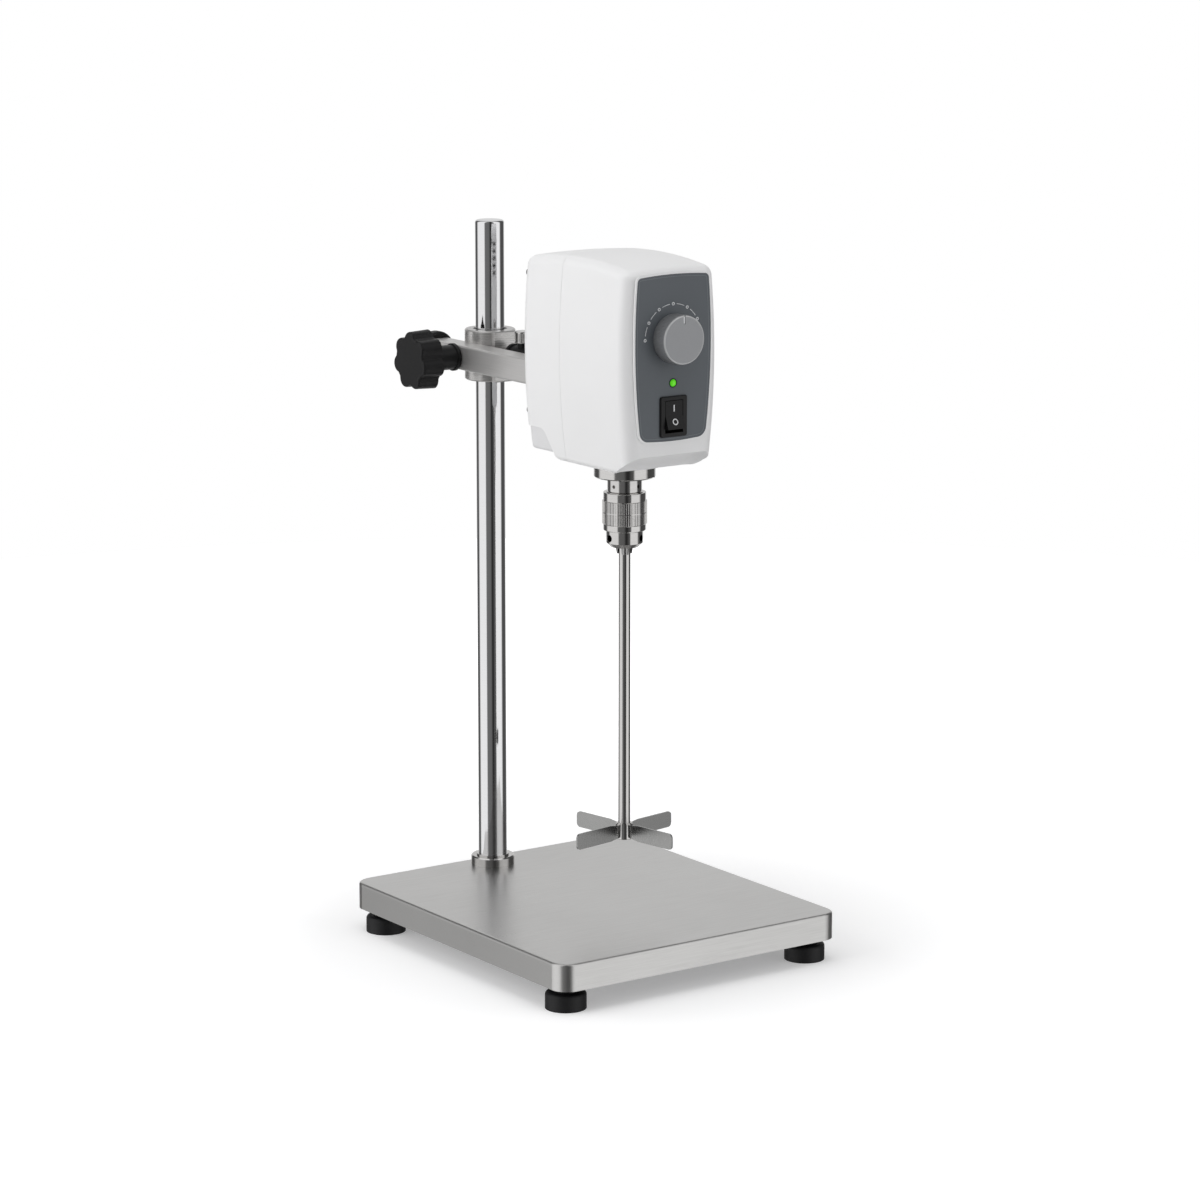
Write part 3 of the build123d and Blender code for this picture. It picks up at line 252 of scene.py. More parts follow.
# name, colour, shade of the streaks, span of roughness, streak scale, depth of the streaks,
# size of the smudges, and how far the surface is metal
metals = {
    "plate": ("Brushed plate steel", (0.65, 0.645, 0.635), 0.90, (0.27, 0.36), alongX, 0.12, 6.0),
    "rod": ("Polished column steel", (0.80, 0.80, 0.81), 0.95, (0.05, 0.08), aroundZ, 0.002),
    "turned": ("Turned bright steel", (0.64, 0.63, 0.62), 0.90, (0.08, 0.14), aroundZ, 0.03),
    "ribbed": ("Knurled satin steel", (0.56, 0.55, 0.54), 0.88, (0.18, 0.26), aroundZ, 0.05),
    "threaded": ("Oiled thread steel", (0.34, 0.335, 0.33), 0.80, (0.28, 0.38), aroundZ, 0.10),
    "clamp": ("Satin clamp steel", (0.57, 0.56, 0.55), 0.92, (0.22, 0.30), aroundZ, 0.10, 9.0, 0.68),
    "arm": ("Drawn arm steel", (0.62, 0.61, 0.60), 0.90, (0.28, 0.36), alongY, 0.12, 9.0, 0.58),
    "shaft": ("Ground shaft steel", (0.62, 0.61, 0.60), 0.95, (0.08, 0.14), aroundZ, 0.03),
    "blade": ("Rolled blade steel", (0.36, 0.36, 0.355), 0.96, (0.24, 0.30), (900.0, 900.0, 300.0), 0.02),
    "jaw": ("Hardened jaw steel", (0.40, 0.395, 0.39), 0.85, (0.22, 0.32), aroundZ, 0.15),
    "screw": ("Blackened screw steel", (0.12, 0.12, 0.125), 0.80, (0.30, 0.42), aroundZ, 0.15),
    "iron": ("Cast core iron", (0.10, 0.10, 0.105), 0.70, (0.55, 0.70), (300.0, 300.0, 300.0), 0.6),
    "laminated": ("Laminated core steel", (0.30, 0.30, 0.31), 0.60, (0.35, 0.50), aroundZ, 0.5),
    "copper": ("Enamelled copper wire", (0.62, 0.27, 0.12), 0.75, (0.22, 0.34), aroundZ, 0.6),
    "brass": ("Turned brass", (0.70, 0.52, 0.22), 0.88, (0.18, 0.26), aroundZ, 0.1),
    "aluminium": ("Machined aluminium", (0.68, 0.69, 0.70), 0.92, (0.28, 0.38), aroundZ, 0.15),
    "magnet": ("Plated magnet", (0.36, 0.36, 0.38), 0.85, (0.25, 0.35), aroundZ, 0.05),
}
# name, colour, shade of the patches, span of roughness, depth and size of the grain, specular level
plastics = {
    "housing": ("White housing", (0.80, 0.80, 0.80), 0.985, (0.32, 0.40), 0.06, 700.0),
    "inletCover": ("Pale inlet cover", (0.70, 0.70, 0.705), 0.97, (0.42, 0.50), 0.12, 800.0),
    "panel": ("Slate panel", (0.104, 0.116, 0.128), 0.90, (0.42, 0.52), 0.20, 1400.0, 0.4),
    "panelLine": ("Embossed panel line", (0.150, 0.165, 0.178), 0.92, (0.36, 0.44), 0.05, 1400.0, 0.45),
    "black": ("Black moulding", (0.010, 0.010, 0.0105), 0.75, (0.38, 0.48), 0.25, 1100.0, 0.28),
    "rubber": ("Black foot rubber", (0.012, 0.012, 0.013), 0.7, (0.50, 0.62), 0.35, 900.0, 0.35),
    "rocker": ("Rocker moulding", (0.008, 0.008, 0.0085), 0.8, (0.26, 0.34), 0.08, 1200.0, 0.22),
    "print": ("Pale print", (0.70, 0.71, 0.72), 0.93, (0.45, 0.55), 0.10, 1600.0),
    "board": ("Circuit board", (0.015, 0.10, 0.045), 0.7, (0.30, 0.40), 0.10, 300.0),
    "partsBlack": ("Component casing", (0.03, 0.03, 0.035), 0.8, (0.35, 0.45), 0.12, 800.0),
    "dark": ("Dark recess", (0.006, 0.006, 0.006), 0.8, (0.6, 0.7), 0.05),
}
finish = {key: metalMaterial(*row) for key, row in metals.items()}
finish.update({key: plasticMaterial(*row) for key, row in plastics.items()})


# the painted highlight on the knob's front edge: its distances from the knob's middle, across the face and
# from the front towards the panel
knobFace = {
    "inner": 14.9 * mm,
    "outer": 15.4 * mm,
    "front": -5.7 * mm,
    "back": -5.1 * mm,
    "crest": (0.315, 0.320, 0.330),
    "valley": (0.270, 0.275, 0.285),
    # colour of the painted highlight on the front edge
    "bright": (0.52, 0.525, 0.53),
    "rough": (0.38, 0.48),
    "metallic": 0.55,
}


def knobMaterial():
    # satin metal-look knob: fine circles on its face
    material, tree, shader, coords = newMaterial("Satin dial knob")
    centred = centreOn(tree, coords, knobAxis)
    rings = addNode(
        tree,
        "ShaderNodeTexWave",
        {"Scale": 420.0, "Distortion": 0.8, "Detail": 2.0, "Detail Scale": 1.5},
        wave_type="RINGS",
        rings_direction="Y",
    )
    join(tree, centred.outputs["Vector"], rings.inputs["Vector"])
    grain = useGroup(tree, grainGroup, coords, {"Grain size": 1500.0, "Depth": 0.15})
    # painted highlight: the front edge is painted brighter than the face, where its rounded edge would
    # catch the light
    reach = distanceFrom(tree, centred, (1.0, 0.0, 1.0))
    ends = {"From Min": knobFace["inner"], "From Max": knobFace["outer"]}
    rim = addNode(tree, "ShaderNodeMapRange", ends)
    join(tree, reach.outputs["Value"], rim.inputs["Value"])
    parts = addNode(tree, "ShaderNodeSeparateXYZ")
    join(tree, centred.outputs["Vector"], parts.inputs["Vector"])
    ends = {"From Min": knobFace["front"], "From Max": knobFace["back"], "To Min": 1.0, "To Max": 0.0}
    front = addNode(tree, "ShaderNodeMapRange", ends)
    join(tree, parts.outputs["Y"], front.inputs["Value"])
    paintedLightMask = maths(tree, "MULTIPLY", rim.outputs["Result"], front.outputs["Result"])
    # mixes the painted highlight's colour over the face's circles
    edge = addNode(tree, "ShaderNodeMix", data_type="RGBA")
    edge.inputs["B"].default_value = (*knobFace["bright"], 1.0)
    join(tree, paintedLightMask, edge.inputs["Factor"])
    join(tree, edge.outputs["Result"], shader.inputs["Base Color"])
    turned = blendColours(tree, rings.outputs["Fac"], knobFace["crest"], knobFace["valley"])
    join(tree, turned, edge.inputs["A"])
    join(tree, spread(tree, grain.outputs["Grain"], *knobFace["rough"]), shader.inputs["Roughness"])
    join(tree, grain.outputs["Normal"], shader.inputs["Normal"])
    shader.inputs["Metallic"].default_value = knobFace["metallic"]
    return material


lampGlow = {
    "radius": 2.7 * mm,
    "middle": (0.20, 0.80, 0.03),
    "edge": (0.06, 0.52, 0.01),
    "strength": 0.45,
    "rough": 0.18,
}


def lampMaterial():
    # lit green lens with a soft hot spot
    material, tree, shader, coords = newMaterial("Green lamp lens")
    centre = middleOf("led_lens")
    centred = centreOn(tree, coords, Vector((centre.x, panelFaceY, centre.z)))
    distance = distanceFrom(tree, centred, (1.0, 1.0, 1.0))
    glow = addNode(tree, "ShaderNodeMapRange", {"From Max": lampGlow["radius"]})
    join(tree, distance.outputs["Value"], glow.inputs["Value"])
    colour = blendColours(tree, glow.outputs["Result"], lampGlow["middle"], lampGlow["edge"])
    join(tree, colour, shader.inputs["Base Color"])
    join(tree, colour, shader.inputs["Emission Color"])
    shader.inputs["Emission Strength"].default_value = lampGlow["strength"]
    shader.inputs["Roughness"].default_value = lampGlow["rough"]
    return material


# the painted shade in the key holes: level above the nose's lower end, half the height, the radius inside
# which the holes lie, and the shade's colour
keyHoleShade = {"level": 6.3 * mm, "half": 2.6 * mm, "skin": 11.9 * mm, "colour": (0.012, 0.012, 0.012)}


def chuckMaterial():
    # turned steel with painted shade: the insides of the key holes are painted nearly black
    material = metalMaterial("Turned chuck steel", *metals["turned"][1:])
    tree = material.node_tree
    shader = tree.nodes["Principled BSDF"]
    bare = shader.inputs["Base Color"].links[0].from_socket
    coords = tree.nodes["Texture Coordinate"].outputs["Object"]
    centred = centreOn(tree, coords, Vector((spindleAxis.x, spindleAxis.y, lowOf("chuck_body").z)))
    reach = distanceFrom(tree, centred, (1.0, 1.0, 0.0))
    inside = maths(tree, "LESS_THAN", reach.outputs["Value"], keyHoleShade["skin"])
    parts = addNode(tree, "ShaderNodeSeparateXYZ")
    join(tree, centred.outputs["Vector"], parts.inputs["Vector"])
    band = {1: keyHoleShade["level"], 2: keyHoleShade["half"]}
    near = addNode(tree, "ShaderNodeMath", band, operation="COMPARE")
    join(tree, parts.outputs["Z"], near.inputs[0])
    paintedLightMask = maths(tree, "MULTIPLY", inside, near.outputs["Value"])
    # painted shade: nearly black mixed over the steel inside the key holes
    paintedShade = addNode(tree, "ShaderNodeMix", data_type="RGBA")
    paintedShade.inputs["B"].default_value = (*keyHoleShade["colour"], 1.0)
    join(tree, bare, paintedShade.inputs["A"])
    join(tree, paintedLightMask, paintedShade.inputs["Factor"])
    join(tree, paintedShade.outputs["Result"], shader.inputs["Base Color"])
    return material


finish["chuck"] = chuckMaterial()
finish["knob"] = knobMaterial()
finish["lamp"] = lampMaterial()
print("materials made,", len(finish))


nodeFinish = {
    "plate": ["base_cover"],
    "iron": ["base_core"],
    "rod": ["column_rod"],
    "turned": [
        "column_collar", "bearing_flange", "bearings", "bearing_races", "spindle", "chuck_sleeve",
        "impeller_hub", "lock_screw", "clamp_screw", "dial_shaft", "support_rod",
    ],
    "chuck": ["chuck_body"],
    "clamp": ["clamp_ring"],
    "arm": ["arm_bar"],
    "shaft": ["stirring_shaft"],
    "blade": ["impeller_blades"],
    "jaw": ["jaw_1", "jaw_2", "jaw_3", "chuck_nut"],
    "screw": ["column_bolt", "case_screws", "bracket_screws", "flange_screws"],
    "laminated": ["stator_core", "rotor_core"],
    "copper": ["stator_coils"],
    "brass": ["clamp_tip", "board_posts"],
    "aluminium": ["motor_frame", "arm_bracket"],
    "magnet": ["rotor_magnets"],
    "housing": ["front_shell", "rear_shell"],
    "inletCover": ["inlet_cover"],
    "panel": ["control_panel"],
    "black": [
        "guide_bush", "arm_stop", "support_collar", "star_knob", "power_inlet", "switch_body",
        "potentiometer",
    ],
    "rubber": [name for name in nodes if name.startswith("foot_pad")],
    "rocker": ["rocker"],
    "board": ["control_board"],
    "partsBlack": ["board_parts"],
    "knob": ["speed_knob"],
    "lamp": ["led_lens"],
}
nodeFinish["turned"] += [name for name in nodes if name.startswith("foot_stud")]
finished = set()
for label, names in nodeFinish.items():
    for name in names:
        mesh = nodes[name].data
        mesh.materials.clear()
        mesh.materials.append(finish[label])
        finished.add(name)
print("finishes set, left over:", sorted(set(nodes) - finished))


def newTree(name, sizes):
    tree = bpy.data.node_groups.new(name, "GeometryNodeTree")
    tree.interface.new_socket("Geometry", in_out="INPUT", socket_type="NodeSocketGeometry")
    for label, (kind, value) in sizes.items():
        socket = tree.interface.new_socket(label, in_out="INPUT", socket_type=kind)
        if value is not None:
            socket.default_value = value
    tree.interface.new_socket("Geometry", in_out="OUTPUT", socket_type="NodeSocketGeometry")
    return tree, addNode(tree, "NodeGroupInput").outputs, addNode(tree, "NodeGroupOutput")


def meshFrom(shape, name):
    mesh = bpy.data.meshes.new(name)
    shape.to_mesh(mesh)
    shape.free()
    return mesh


def bridgeLoops(shape, loops):
    # faces between each loop of points and the next one, the last being joined to the first
    for here, after in zip(loops, loops[1:] + loops[:1]):
        for k in range(len(here)):
            j = (k + 1) % len(here)
            shape.faces.new((here[k], after[k], after[j], here[j]))
    bmesh.ops.recalc_face_normals(shape, faces=shape.faces)


def bakeTree(name, tree, sizes, place, material, body):
    # runs the tree on an empty mesh and keeps the result as a plain mesh on its body
    holder = bpy.data.objects.new(name, bpy.data.meshes.new(name))
    bpy.context.scene.collection.objects.link(holder)
    modifier = holder.modifiers.new("Pattern", "NODES")
    modifier.node_group = tree
    sockets = {item.name: item.identifier for item in tree.interface.items_tree if item.in_out == "INPUT"}
    for label, value in {**sizes, "Material": material}.items():
        modifier[sockets[label]] = value
    depsgraph = bpy.context.evaluated_depsgraph_get()
    mesh = bpy.data.meshes.new_from_object(holder.evaluated_get(depsgraph), depsgraph=depsgraph)
    holder.modifiers.clear()
    mesh.transform(place)
    mesh.name = name
    holder.data = mesh
    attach(holder, body)
    return holder


def endTree(tree, geometry, sizes, result):
    # makes the instances real and gives the shape its material
    real = addNode(tree, "GeometryNodeRealizeInstances")
    join(tree, geometry, real.inputs["Geometry"])
    coat = addNode(tree, "GeometryNodeSetMaterial")
    join(tree, real.outputs["Geometry"], coat.inputs["Geometry"])
    join(tree, sizes["Material"], coat.inputs["Material"])
    join(tree, coat.outputs["Geometry"], result.inputs["Geometry"])
    return tree


def makeRibTree():
    # rows of ribs standing round a vertical axis
    tree, sizes, result = newTree(
        "Rib rows",
        {
            "Columns": ("NodeSocketInt", 60),
            "Rows": ("NodeSocketInt", 1),
            "Radius": ("NodeSocketFloat", 0.01),
            "Row pitch": ("NodeSocketFloat", 0.01),
            "Rib size": ("NodeSocketVector", (0.001, 0.001, 0.01)),
            "Material": ("NodeSocketMaterial", None),
        },
    )
    count = maths(tree, "MULTIPLY", sizes["Columns"], sizes["Rows"])
    points = addNode(tree, "GeometryNodePoints")
    join(tree, count, points.inputs["Count"])
    index = addNode(tree, "GeometryNodeInputIndex").outputs["Index"]
    row = maths(tree, "FLOOR", maths(tree, "DIVIDE", index, sizes["Columns"]))
    turn = maths(tree, "DIVIDE", maths(tree, "MULTIPLY", index, 2 * math.pi), sizes["Columns"])
    across = maths(tree, "MULTIPLY", maths(tree, "COSINE", turn), sizes["Radius"])
    along = maths(tree, "MULTIPLY", maths(tree, "SINE", turn), sizes["Radius"])
    level = maths(tree, "MULTIPLY", row, sizes["Row pitch"])
    position = addNode(tree, "ShaderNodeCombineXYZ")
    join(tree, across, position.inputs["X"])
    join(tree, along, position.inputs["Y"])
    join(tree, level, position.inputs["Z"])
    join(tree, position.outputs["Vector"], points.inputs["Position"])
    rib = addNode(tree, "GeometryNodeMeshCube")
    join(tree, sizes["Rib size"], rib.inputs["Size"])
    edgeOut = addNode(tree, "GeometryNodeTransform")
    edgeOut.inputs["Rotation"].default_value = (0.0, 0.0, math.radians(45))
    join(tree, rib.outputs["Mesh"], edgeOut.inputs["Geometry"])
    facing = addNode(tree, "ShaderNodeCombineXYZ")
    join(tree, turn, facing.inputs["Z"])
    ribs = addNode(tree, "GeometryNodeInstanceOnPoints")
    join(tree, points.outputs["Points"], ribs.inputs["Points"])
    join(tree, edgeOut.outputs["Geometry"], ribs.inputs["Instance"])
    join(tree, facing.outputs["Vector"], ribs.inputs["Rotation"])
    return endTree(tree, ribs.outputs["Instances"], sizes, result)


def makeDialTree():
    # small rings with short arcs between them, round the Z axis, in the XY plane
    tree, sizes, result = newTree(
        "Dial scale",
        {
            "Dots": ("NodeSocketInt", 7),
            "First angle": ("NodeSocketFloat", 0.0),
            "Step": ("NodeSocketFloat", 0.5),
            "Radius": ("NodeSocketFloat", 0.022),
            "Dot radius": ("NodeSocketFloat", 0.001),
            "Dot line": ("NodeSocketFloat", 0.0005),
            "Dash share": ("NodeSocketFloat", 0.5),
            "Dash width": ("NodeSocketFloat", 0.0003),
            "Print height": ("NodeSocketFloat", 0.0001),
            "Material": ("NodeSocketMaterial", None),
        },
    )
    index = addNode(tree, "GeometryNodeInputIndex").outputs["Index"]
    turn = maths(tree, "ADD", maths(tree, "MULTIPLY", index, sizes["Step"]), sizes["First angle"])
    facing = addNode(tree, "ShaderNodeCombineXYZ")
    join(tree, turn, facing.inputs["Z"])
    dots = addNode(tree, "GeometryNodePoints")
    join(tree, sizes["Dots"], dots.inputs["Count"])
    circle = addNode(tree, "GeometryNodeCurvePrimitiveCircle", {"Resolution": 24})
    join(tree, sizes["Dot radius"], circle.inputs["Radius"])
    line = addNode(tree, "GeometryNodeCurvePrimitiveQuadrilateral")
    join(tree, sizes["Dot line"], line.inputs["Width"])
    join(tree, sizes["Print height"], line.inputs["Height"])
    dot = addNode(tree, "GeometryNodeCurveToMesh")
    join(tree, circle.outputs["Curve"], dot.inputs["Curve"])
    join(tree, line.outputs["Curve"], dot.inputs["Profile Curve"])
    moved = addNode(tree, "GeometryNodeTransform")
    offset = addNode(tree, "ShaderNodeCombineXYZ")
    join(tree, sizes["Radius"], offset.inputs["X"])
    join(tree, offset.outputs["Vector"], moved.inputs["Translation"])
    join(tree, dot.outputs["Mesh"], moved.inputs["Geometry"])
    dotRow = addNode(tree, "GeometryNodeInstanceOnPoints")
    join(tree, dots.outputs["Points"], dotRow.inputs["Points"])
    join(tree, moved.outputs["Geometry"], dotRow.inputs["Instance"])
    join(tree, facing.outputs["Vector"], dotRow.inputs["Rotation"])

    sweep = maths(tree, "MULTIPLY", sizes["Step"], sizes["Dash share"])
    lead = maths(tree, "MULTIPLY", maths(tree, "SUBTRACT", sizes["Step"], sweep), 0.5)
    arc = addNode(tree, "GeometryNodeCurveArc", mode="RADIUS")
    arc.inputs["Resolution"].default_value = 8
    join(tree, sizes["Radius"], arc.inputs["Radius"])
    join(tree, lead, arc.inputs["Start Angle"])
    join(tree, sweep, arc.inputs["Sweep Angle"])
    profile = addNode(tree, "GeometryNodeCurvePrimitiveQuadrilateral", mode="RECTANGLE")
    join(tree, sizes["Dash width"], profile.inputs["Width"])
    join(tree, sizes["Print height"], profile.inputs["Height"])
    dash = addNode(tree, "GeometryNodeCurveToMesh")
    dash.inputs["Fill Caps"].default_value = True
    join(tree, arc.outputs["Curve"], dash.inputs["Curve"])
    join(tree, profile.outputs["Curve"], dash.inputs["Profile Curve"])
    gaps = addNode(tree, "GeometryNodePoints")
    join(tree, maths(tree, "SUBTRACT", sizes["Dots"], 1), gaps.inputs["Count"])
    dashRow = addNode(tree, "GeometryNodeInstanceOnPoints")
    join(tree, gaps.outputs["Points"], dashRow.inputs["Points"])
    join(tree, dash.outputs["Mesh"], dashRow.inputs["Instance"])
    join(tree, facing.outputs["Vector"], dashRow.inputs["Rotation"])
    both = addNode(tree, "GeometryNodeJoinGeometry")
    join(tree, dotRow.outputs["Instances"], both.inputs["Geometry"])
    join(tree, dashRow.outputs["Instances"], both.inputs["Geometry"])
    return endTree(tree, both.outputs["Geometry"], sizes, result)


ribTree = makeRibTree()
dialTree = makeDialTree()


sleeveGrip = {
    "columns": 72,
    "rows": 2,
    "rib": 0.75 * mm,
    "rowHeight": 7.4 * mm,
    "groove": 0.5 * mm,
    "fromBottom": 4.6 * mm,
    "sink": 0.25 * mm,
}


def makeSleeveGrip():
    low = lowOf("chuck_sleeve")
    gripLow = low.z + sleeveGrip["fromBottom"]
    radius = (highOf("chuck_sleeve").x - low.x) / 2 - sleeveGrip["sink"]
    start = gripLow + sleeveGrip["rowHeight"] / 2
    grip = bakeTree(
        "sleeve_grip",
        ribTree,
        {
            "Columns": sleeveGrip["columns"],
            "Rows": sleeveGrip["rows"],
            "Radius": radius,
            "Row pitch": sleeveGrip["rowHeight"] + sleeveGrip["groove"],
            "Rib size": (sleeveGrip["rib"], sleeveGrip["rib"], sleeveGrip["rowHeight"]),
        },
        Matrix.Translation((spindleAxis.x, spindleAxis.y, start)),
        finish["ribbed"],
        "chuck_sleeve",
    )


lockGrip = {"columns": 36, "rib": 0.7 * mm, "height": 6.0 * mm, "belowTop": 4.2 * mm, "sink": 0.2 * mm}


def makeLockGrip():
    low, high = lowOf("lock_screw"), highOf("lock_screw")
    radius = (high.x - low.x) / 2 - lockGrip["sink"]
    grip = bakeTree(
        "lock_grip",
        ribTree,
        {
            "Columns": lockGrip["columns"],
            "Rows": 1,
            "Radius": radius,
            "Rib size": (lockGrip["rib"], lockGrip["rib"], lockGrip["height"]),
        },
        Matrix.Translation(((low.x + high.x) / 2, (low.y + high.y) / 2, high.z - lockGrip["belowTop"])),
        finish["ribbed"],
        "lock_screw",
    )


knobGrip = {"columns": 90, "rib": 0.62 * mm, "height": 9.6 * mm, "edge": 1.6 * mm, "sink": 0.2 * mm}


def makeKnobGrip():
    low, high = lowOf("speed_knob"), highOf("speed_knob")
    radius = (high.x - low.x) / 2 - knobGrip["sink"]
    middle = low.y + knobGrip["edge"] + knobGrip["height"] / 2
    grip = bakeTree(
        "knob_grip",
        ribTree,
        {
            "Columns": knobGrip["columns"],
            "Rows": 1,
            "Radius": radius,
            "Rib size": (knobGrip["rib"], knobGrip["rib"], knobGrip["height"]),
        },
        Matrix.Translation((knobAxis.x, middle, knobAxis.z)) @ upright,
        finish["knob"],
        "speed_dial",
    )


makeSleeveGrip()
makeLockGrip()
makeKnobGrip()
print("grips made")


# the thread is cut inwards, and stays clear of the pieces round the screw;
# a flank above 1 leaves flat roots between the turns
thread = {
    "pitch": 1.25 * mm,
    "depth": 0.62 * mm,
    "sides": 28,
    "rowsPerTurn": 8,
    "flank": 1.2,
    "clear": 0.03 * mm,
}


def makeThreadTree():
    # a rod along Z whose skin is drawn in along a helix
    tree, sizes, result = newTree(
        "Threaded rod",
        {
            "Radius": ("NodeSocketFloat", 0.004),
            "Length": ("NodeSocketFloat", 0.02),
            "Pitch": ("NodeSocketFloat", 0.00125),
            "Depth": ("NodeSocketFloat", 0.0006),
            "Sides": ("NodeSocketInt", 28),
            "Rows": ("NodeSocketInt", 100),
            "Material": ("NodeSocketMaterial", None),
        },
    )
    rod = addNode(tree, "GeometryNodeMeshCylinder")
    join(tree, sizes["Sides"], rod.inputs["Vertices"])
    join(tree, sizes["Rows"], rod.inputs["Side Segments"])
    join(tree, sizes["Radius"], rod.inputs["Radius"])
    join(tree, sizes["Length"], rod.inputs["Depth"])
    place = addNode(tree, "GeometryNodeInputPosition").outputs["Position"]
    parts = addNode(tree, "ShaderNodeSeparateXYZ")
    join(tree, place, parts.inputs["Vector"])
    angle = maths(tree, "ARCTAN2", parts.outputs["Y"], parts.outputs["X"])
    turn = maths(tree, "DIVIDE", angle, 2 * math.pi)
    climb = maths(tree, "SUBTRACT", maths(tree, "DIVIDE", parts.outputs["Z"], sizes["Pitch"]), turn)
    twice = maths(tree, "MULTIPLY", maths(tree, "FRACT", climb), 2.0)
    wave = maths(tree, "ABSOLUTE", maths(tree, "SUBTRACT", twice, 1.0))
    flank = maths(tree, "MINIMUM", maths(tree, "MULTIPLY", wave, thread["flank"]), 1.0)
    cut = maths(tree, "DIVIDE", maths(tree, "MULTIPLY", flank, sizes["Depth"]), sizes["Radius"])
    share = maths(tree, "SUBTRACT", 1.0, cut)
    scale = addNode(tree, "ShaderNodeCombineXYZ", {"Z": 1.0})
    join(tree, share, scale.inputs["X"])
    join(tree, share, scale.inputs["Y"])
    drawn = addNode(tree, "ShaderNodeVectorMath", operation="MULTIPLY")
    join(tree, place, drawn.inputs[0])
    join(tree, scale.outputs["Vector"], drawn.inputs[1])
    moved = addNode(tree, "GeometryNodeSetPosition")
    join(tree, rod.outputs["Mesh"], moved.inputs["Geometry"])
    join(tree, drawn.outputs["Vector"], moved.inputs["Position"])
    return endTree(tree, moved.outputs["Geometry"], sizes, result)


threadTree = makeThreadTree()


def makeThreadedRod(node, axis, turned, body):
    low, high = lowOf(node), highOf(node)
    length = (high - low)[axis]
    rod = bakeTree(
        "threaded_" + node,
        threadTree,
        {
            "Radius": (high - low)[(axis + 1) % 3] / 2 - thread["clear"],
            "Length": length - 2 * thread["clear"],
            "Pitch": thread["pitch"],
            "Depth": thread["depth"],
            "Sides": thread["sides"],
            "Rows": round(length / thread["pitch"] * thread["rowsPerTurn"]),
        },
        Matrix.Translation(middleOf(node)) @ turned,
        finish["threaded"],
        body,
    )
    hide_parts(node)


for studName in sorted(name for name in nodes if name.startswith("foot_stud")):
    makeThreadedRod(studName, 2, Matrix.Identity(4), studName.replace("foot_stud", "foot"))
makeThreadedRod("clamp_screw", 0, acrossX, "star_knob")
print("threads made")


# recesses for the drivers; width is across a hexagon's corners or along a cross's arm
recesses = {
    "case_screws": {
        "shape": "cross", "axis": 1, "side": 1, "width": 3.6 * mm, "slot": 0.9 * mm, "depth": 1.4 * mm,
    },
    "flange_screws": {"shape": "hexagon", "axis": 2, "side": -1, "width": 2.3 * mm, "depth": 0.8 * mm},
    "column_bolt": {"shape": "hexagon", "axis": 2, "side": -1, "width": 9.2 * mm, "depth": 3.2 * mm},
}
recessBody = {"case_screws": "head", "flange_screws": "head", "column_bolt": "stand"}


def looseBoxes(mesh):
    # low and high corners of each separate piece of a mesh
    shape = bmesh.new()
    shape.from_mesh(mesh)
    bmesh.ops.remove_doubles(shape, verts=shape.verts, dist=1e-6)
    left = set(shape.verts)
    boxes = []
    while left:
        front = [left.pop()]
        found = list(front)
        while front:
            for edge in front.pop().link_edges:
                for vert in edge.verts:
                    if vert in left:
                        left.discard(vert)
                        found.append(vert)
                        front.append(vert)
        spots = [[vert.co[k] for vert in found] for k in range(3)]
        boxes.append((Vector([min(row) for row in spots]), Vector([max(row) for row in spots])))
    shape.free()
    return boxes


def recessCutters(name, recess):
    # one cutter for a hexagon, two crossed ones for a cross, each made of a block for every screw
    cutters = []
    spans = [0] if recess["shape"] == "hexagon" else [0, 1]
    for turn in spans:
        shape = bmesh.new()
        for low, high in looseBoxes(nodes[name].data):
            axis = recess["axis"]
            top = high[axis] if recess["side"] > 0 else low[axis]
            middle = (low + high) / 2
            middle[axis] = top
            if recess["shape"] == "hexagon":
                made = bmesh.ops.create_cone(
                    shape,
                    cap_ends=True,
                    segments=6,
                    radius1=recess["width"] / 2,
                    radius2=recess["width"] / 2,
                    depth=recess["depth"] * 2,
                )
            else:
                made = bmesh.ops.create_cube(shape, size=1.0)
                size = (recess["width"], recess["slot"], recess["depth"] * 2)
                bmesh.ops.scale(shape, vec=size, verts=made["verts"])
                across = Matrix.Rotation(math.radians(90) * turn, 3, "Z")
                bmesh.ops.rotate(shape, verts=made["verts"], matrix=across)
            if axis == 1:
                lying = Matrix.Rotation(math.radians(90), 3, "X")
                bmesh.ops.rotate(shape, verts=made["verts"], matrix=lying)
            bmesh.ops.translate(shape, vec=middle, verts=made["verts"])
        cutter = bpy.data.objects.new(name + "_cutter", meshFrom(shape, name + "_cutter"))
        bpy.context.scene.collection.objects.link(cutter)
        cutters.append(cutter)
    return cutters


def makeRecessed(name):
    # copy of the CAD screws with the driver recesses sunk in their heads
    piece = bpy.data.objects.new("driven_" + name, nodes[name].data.copy())
    bpy.context.scene.collection.objects.link(piece)
    cutters = recessCutters(name, recesses[name])
    for cutter in cutters:
        cut = piece.modifiers.new("Recess", "BOOLEAN")
        cut.operation = "DIFFERENCE"
        cut.solver = "EXACT"
        cut.object = cutter
    depsgraph = bpy.context.evaluated_depsgraph_get()
    mesh = bpy.data.meshes.new_from_object(piece.evaluated_get(depsgraph), depsgraph=depsgraph)
    piece.modifiers.clear()
    piece.data = mesh
    mesh.name = piece.name
    for cutter in cutters:
        bpy.data.objects.remove(cutter)
    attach(piece, recessBody[name])
    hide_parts(name)
    print(piece.name, len(mesh.polygons), "faces")


for screwName in recesses:
    makeRecessed(screwName)
print("recesses made")


dialScale = {
    "dots": 7,
    "radius": 22.3 * mm,
    "dot": 0.82 * mm,
    "dotLine": 0.58 * mm,
    "dashShare": 0.52,
    "dashWidth": 0.42 * mm,
    "print": 0.12 * mm,
    "proud": 0.3,  # share of the print's height by which its middle stands off the panel
}


